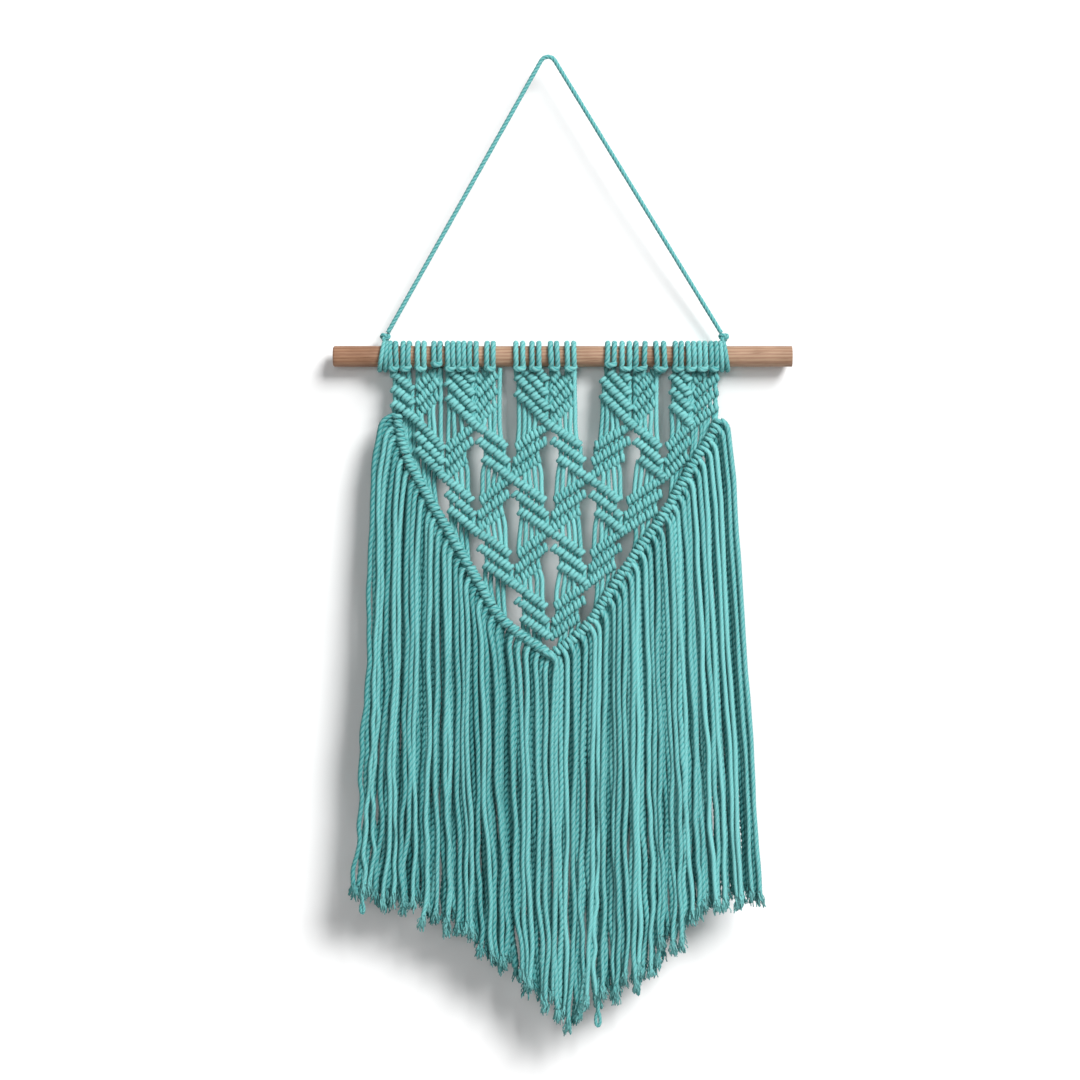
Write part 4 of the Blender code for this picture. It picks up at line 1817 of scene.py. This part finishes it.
@dataclass(frozen=True)
class Softbox:
    """A soft square light. Its distance and the length of its side are in metres."""

    name: str
    towards: tuple[float, float, float]
    away: float
    size: float
    power: float                   # in watts


@dataclass
class Studio:
    """The pale backdrop and floor, the soft light and the camera at the photograph's angle."""

    centre_x: float = -6.1
    centre_z: float = -366.8
    width_seen: float = 823.5
    distance: float = 2600.0
    # height and how far back the backdrop is there: nearest behind the rod
    backdrop: tuple[tuple[float, float], ...] = (
        (-1000, 50.0), (-690, 48.0), (-600, 46.0), (-526, 43.0), (-450, 38.5), (-375, 33.0),
        (-300, 27.5), (-275, 23.2), (-240, 14.0), (-215, 13.5), (-150, 21.0), (-110, 24.0),
        (2000, 24.0),
    )
    rounding: float = 15.0         # how far above and below its bends the backdrop is rounded
    floor_z: float = -2400.0
    half_width: float = 2500.0     # of the backdrop and the floor
    # a large key light from the upper right, and a weak one near the camera
    softboxes: tuple[Softbox, ...] = (
        Softbox("key_softbox", (0.6, -1.0, 0.68), away=8.0, size=3.3, power=860.0),
        Softbox("front_fill", (-0.1, -1.0, 0.1), away=6.0, size=2.0, power=70.0),
    )
    surroundings: float = 0.12     # how bright the space around is

    def camera(self) -> None:
        """Sets up the camera."""
        lens = bpy.data.cameras.new("studio_camera")
        lens.sensor_width = 36.0
        lens.lens = lens.sensor_width * self.distance / self.width_seen
        lens.clip_end = 50.0
        holder = bpy.data.objects.new("studio_camera", lens)
        holder.location = Vector((self.centre_x, -self.distance, self.centre_z)) * MM
        holder.rotation_euler = (math.pi / 2, 0, 0)
        bpy.context.scene.collection.objects.link(holder)
        bpy.context.scene.camera = holder

    def backdrop_y(self, z: float) -> float:
        """Finds how far back the backdrop is at a height: it leans away from the rod.

        Args:
            z: the height.

        Returns:
            Its depth.
        """
        heights, depths = zip(*self.backdrop)
        around = np.linspace(z - self.rounding, z + self.rounding, 9)
        return float(np.mean(np.interp(around, heights, depths)))

    def sheet(self, name: str, profile: Sequence[tuple[float, float]], finish: StudioPaint) -> None:
        """Adds a wide sheet of the stage.

        Args:
            name: its name.
            profile: depth and height, in millimetres, of each line across it.
            finish: its paint.
        """
        ends = (-self.half_width, self.half_width)
        points = [(x * MM, y * MM, z * MM) for y, z in profile for x in ends]
        faces = [(2 * n, 2 * n + 1, 2 * n + 3, 2 * n + 2) for n in range(len(profile) - 1)]
        mesh = bpy.data.meshes.new(name)
        mesh.from_pydata(points, [], faces)
        mesh.polygons.foreach_set("use_smooth", np.ones(len(faces), bool))
        mesh.materials.append(finish.make())
        made = bpy.data.objects.new(name, mesh)
        bpy.context.scene.collection.objects.link(made)

    def stage(self) -> None:
        """Adds the backdrop, seen only from its front, and the floor."""
        heights = [self.floor_z, *np.arange(-1000.0, 1.0, 10.0), 2000.0]
        profile = [(self.backdrop_y(z), z) for z in heights]
        self.sheet("studio_backdrop", profile, StudioPaint("white_wall_paint", one_sided=True))
        floor = ((-1200.0, self.floor_z), (400.0, self.floor_z))
        self.sheet("studio_floor", floor, StudioPaint("pale_floor_paint"))

    def light(self, box: Softbox) -> None:
        """Adds one light, aimed at the middle of the hanging.

        Args:
            box: the light.
        """
        lamp = bpy.data.lights.new(box.name, "AREA")
        lamp.shape = "SQUARE"
        lamp.size = box.size
        lamp.energy = box.power
        holder = bpy.data.objects.new(box.name, lamp)
        way = Vector(box.towards).normalized()
        holder.location = Vector((self.centre_x, 0, self.centre_z)) * MM + way * box.away
        holder.rotation_euler = way.to_track_quat("Z", "Y").to_euler()
        bpy.context.scene.collection.objects.link(holder)

    def lights(self) -> None:
        """Adds the lights and the pale surroundings."""
        for box in self.softboxes:
            self.light(box)
        world = bpy.data.worlds.new("studio_surroundings")
        world.use_nodes = True
        ground = world.node_tree.nodes["Background"]
        ground.inputs["Color"].default_value = linear("#FFFFFF")
        ground.inputs["Strength"].default_value = self.surroundings
        bpy.context.scene.world = world
        bpy.context.scene.view_settings.view_transform = "Standard"


def main() -> None:
    """Builds the hanging in the order in which it is made, and reports each piece."""
    logging.basicConfig(level=logging.INFO, format="%(name)s: %(message)s")
    studio = Studio()
    studio.camera()
    cotton = ThreePlyCotton().make()
    hanging_cord = HangingCord(cotton)
    hanging_cord.build()
    Dowel(HardwoodDowel().make()).build()
    for side in Side:
        Hitch(side, cotton, hanging_cord.knots_x[side]).build()
    Heading(cotton).build()
    for run in Run:
        Bars(run, cotton).build()
    FreeStrands(cotton).build()
    for side in Side:
        EdgeBar(side, cotton).build()
        Fringe(side, cotton).build()
    studio.stage()
    studio.lights()


if __name__ == "__main__":
    main()
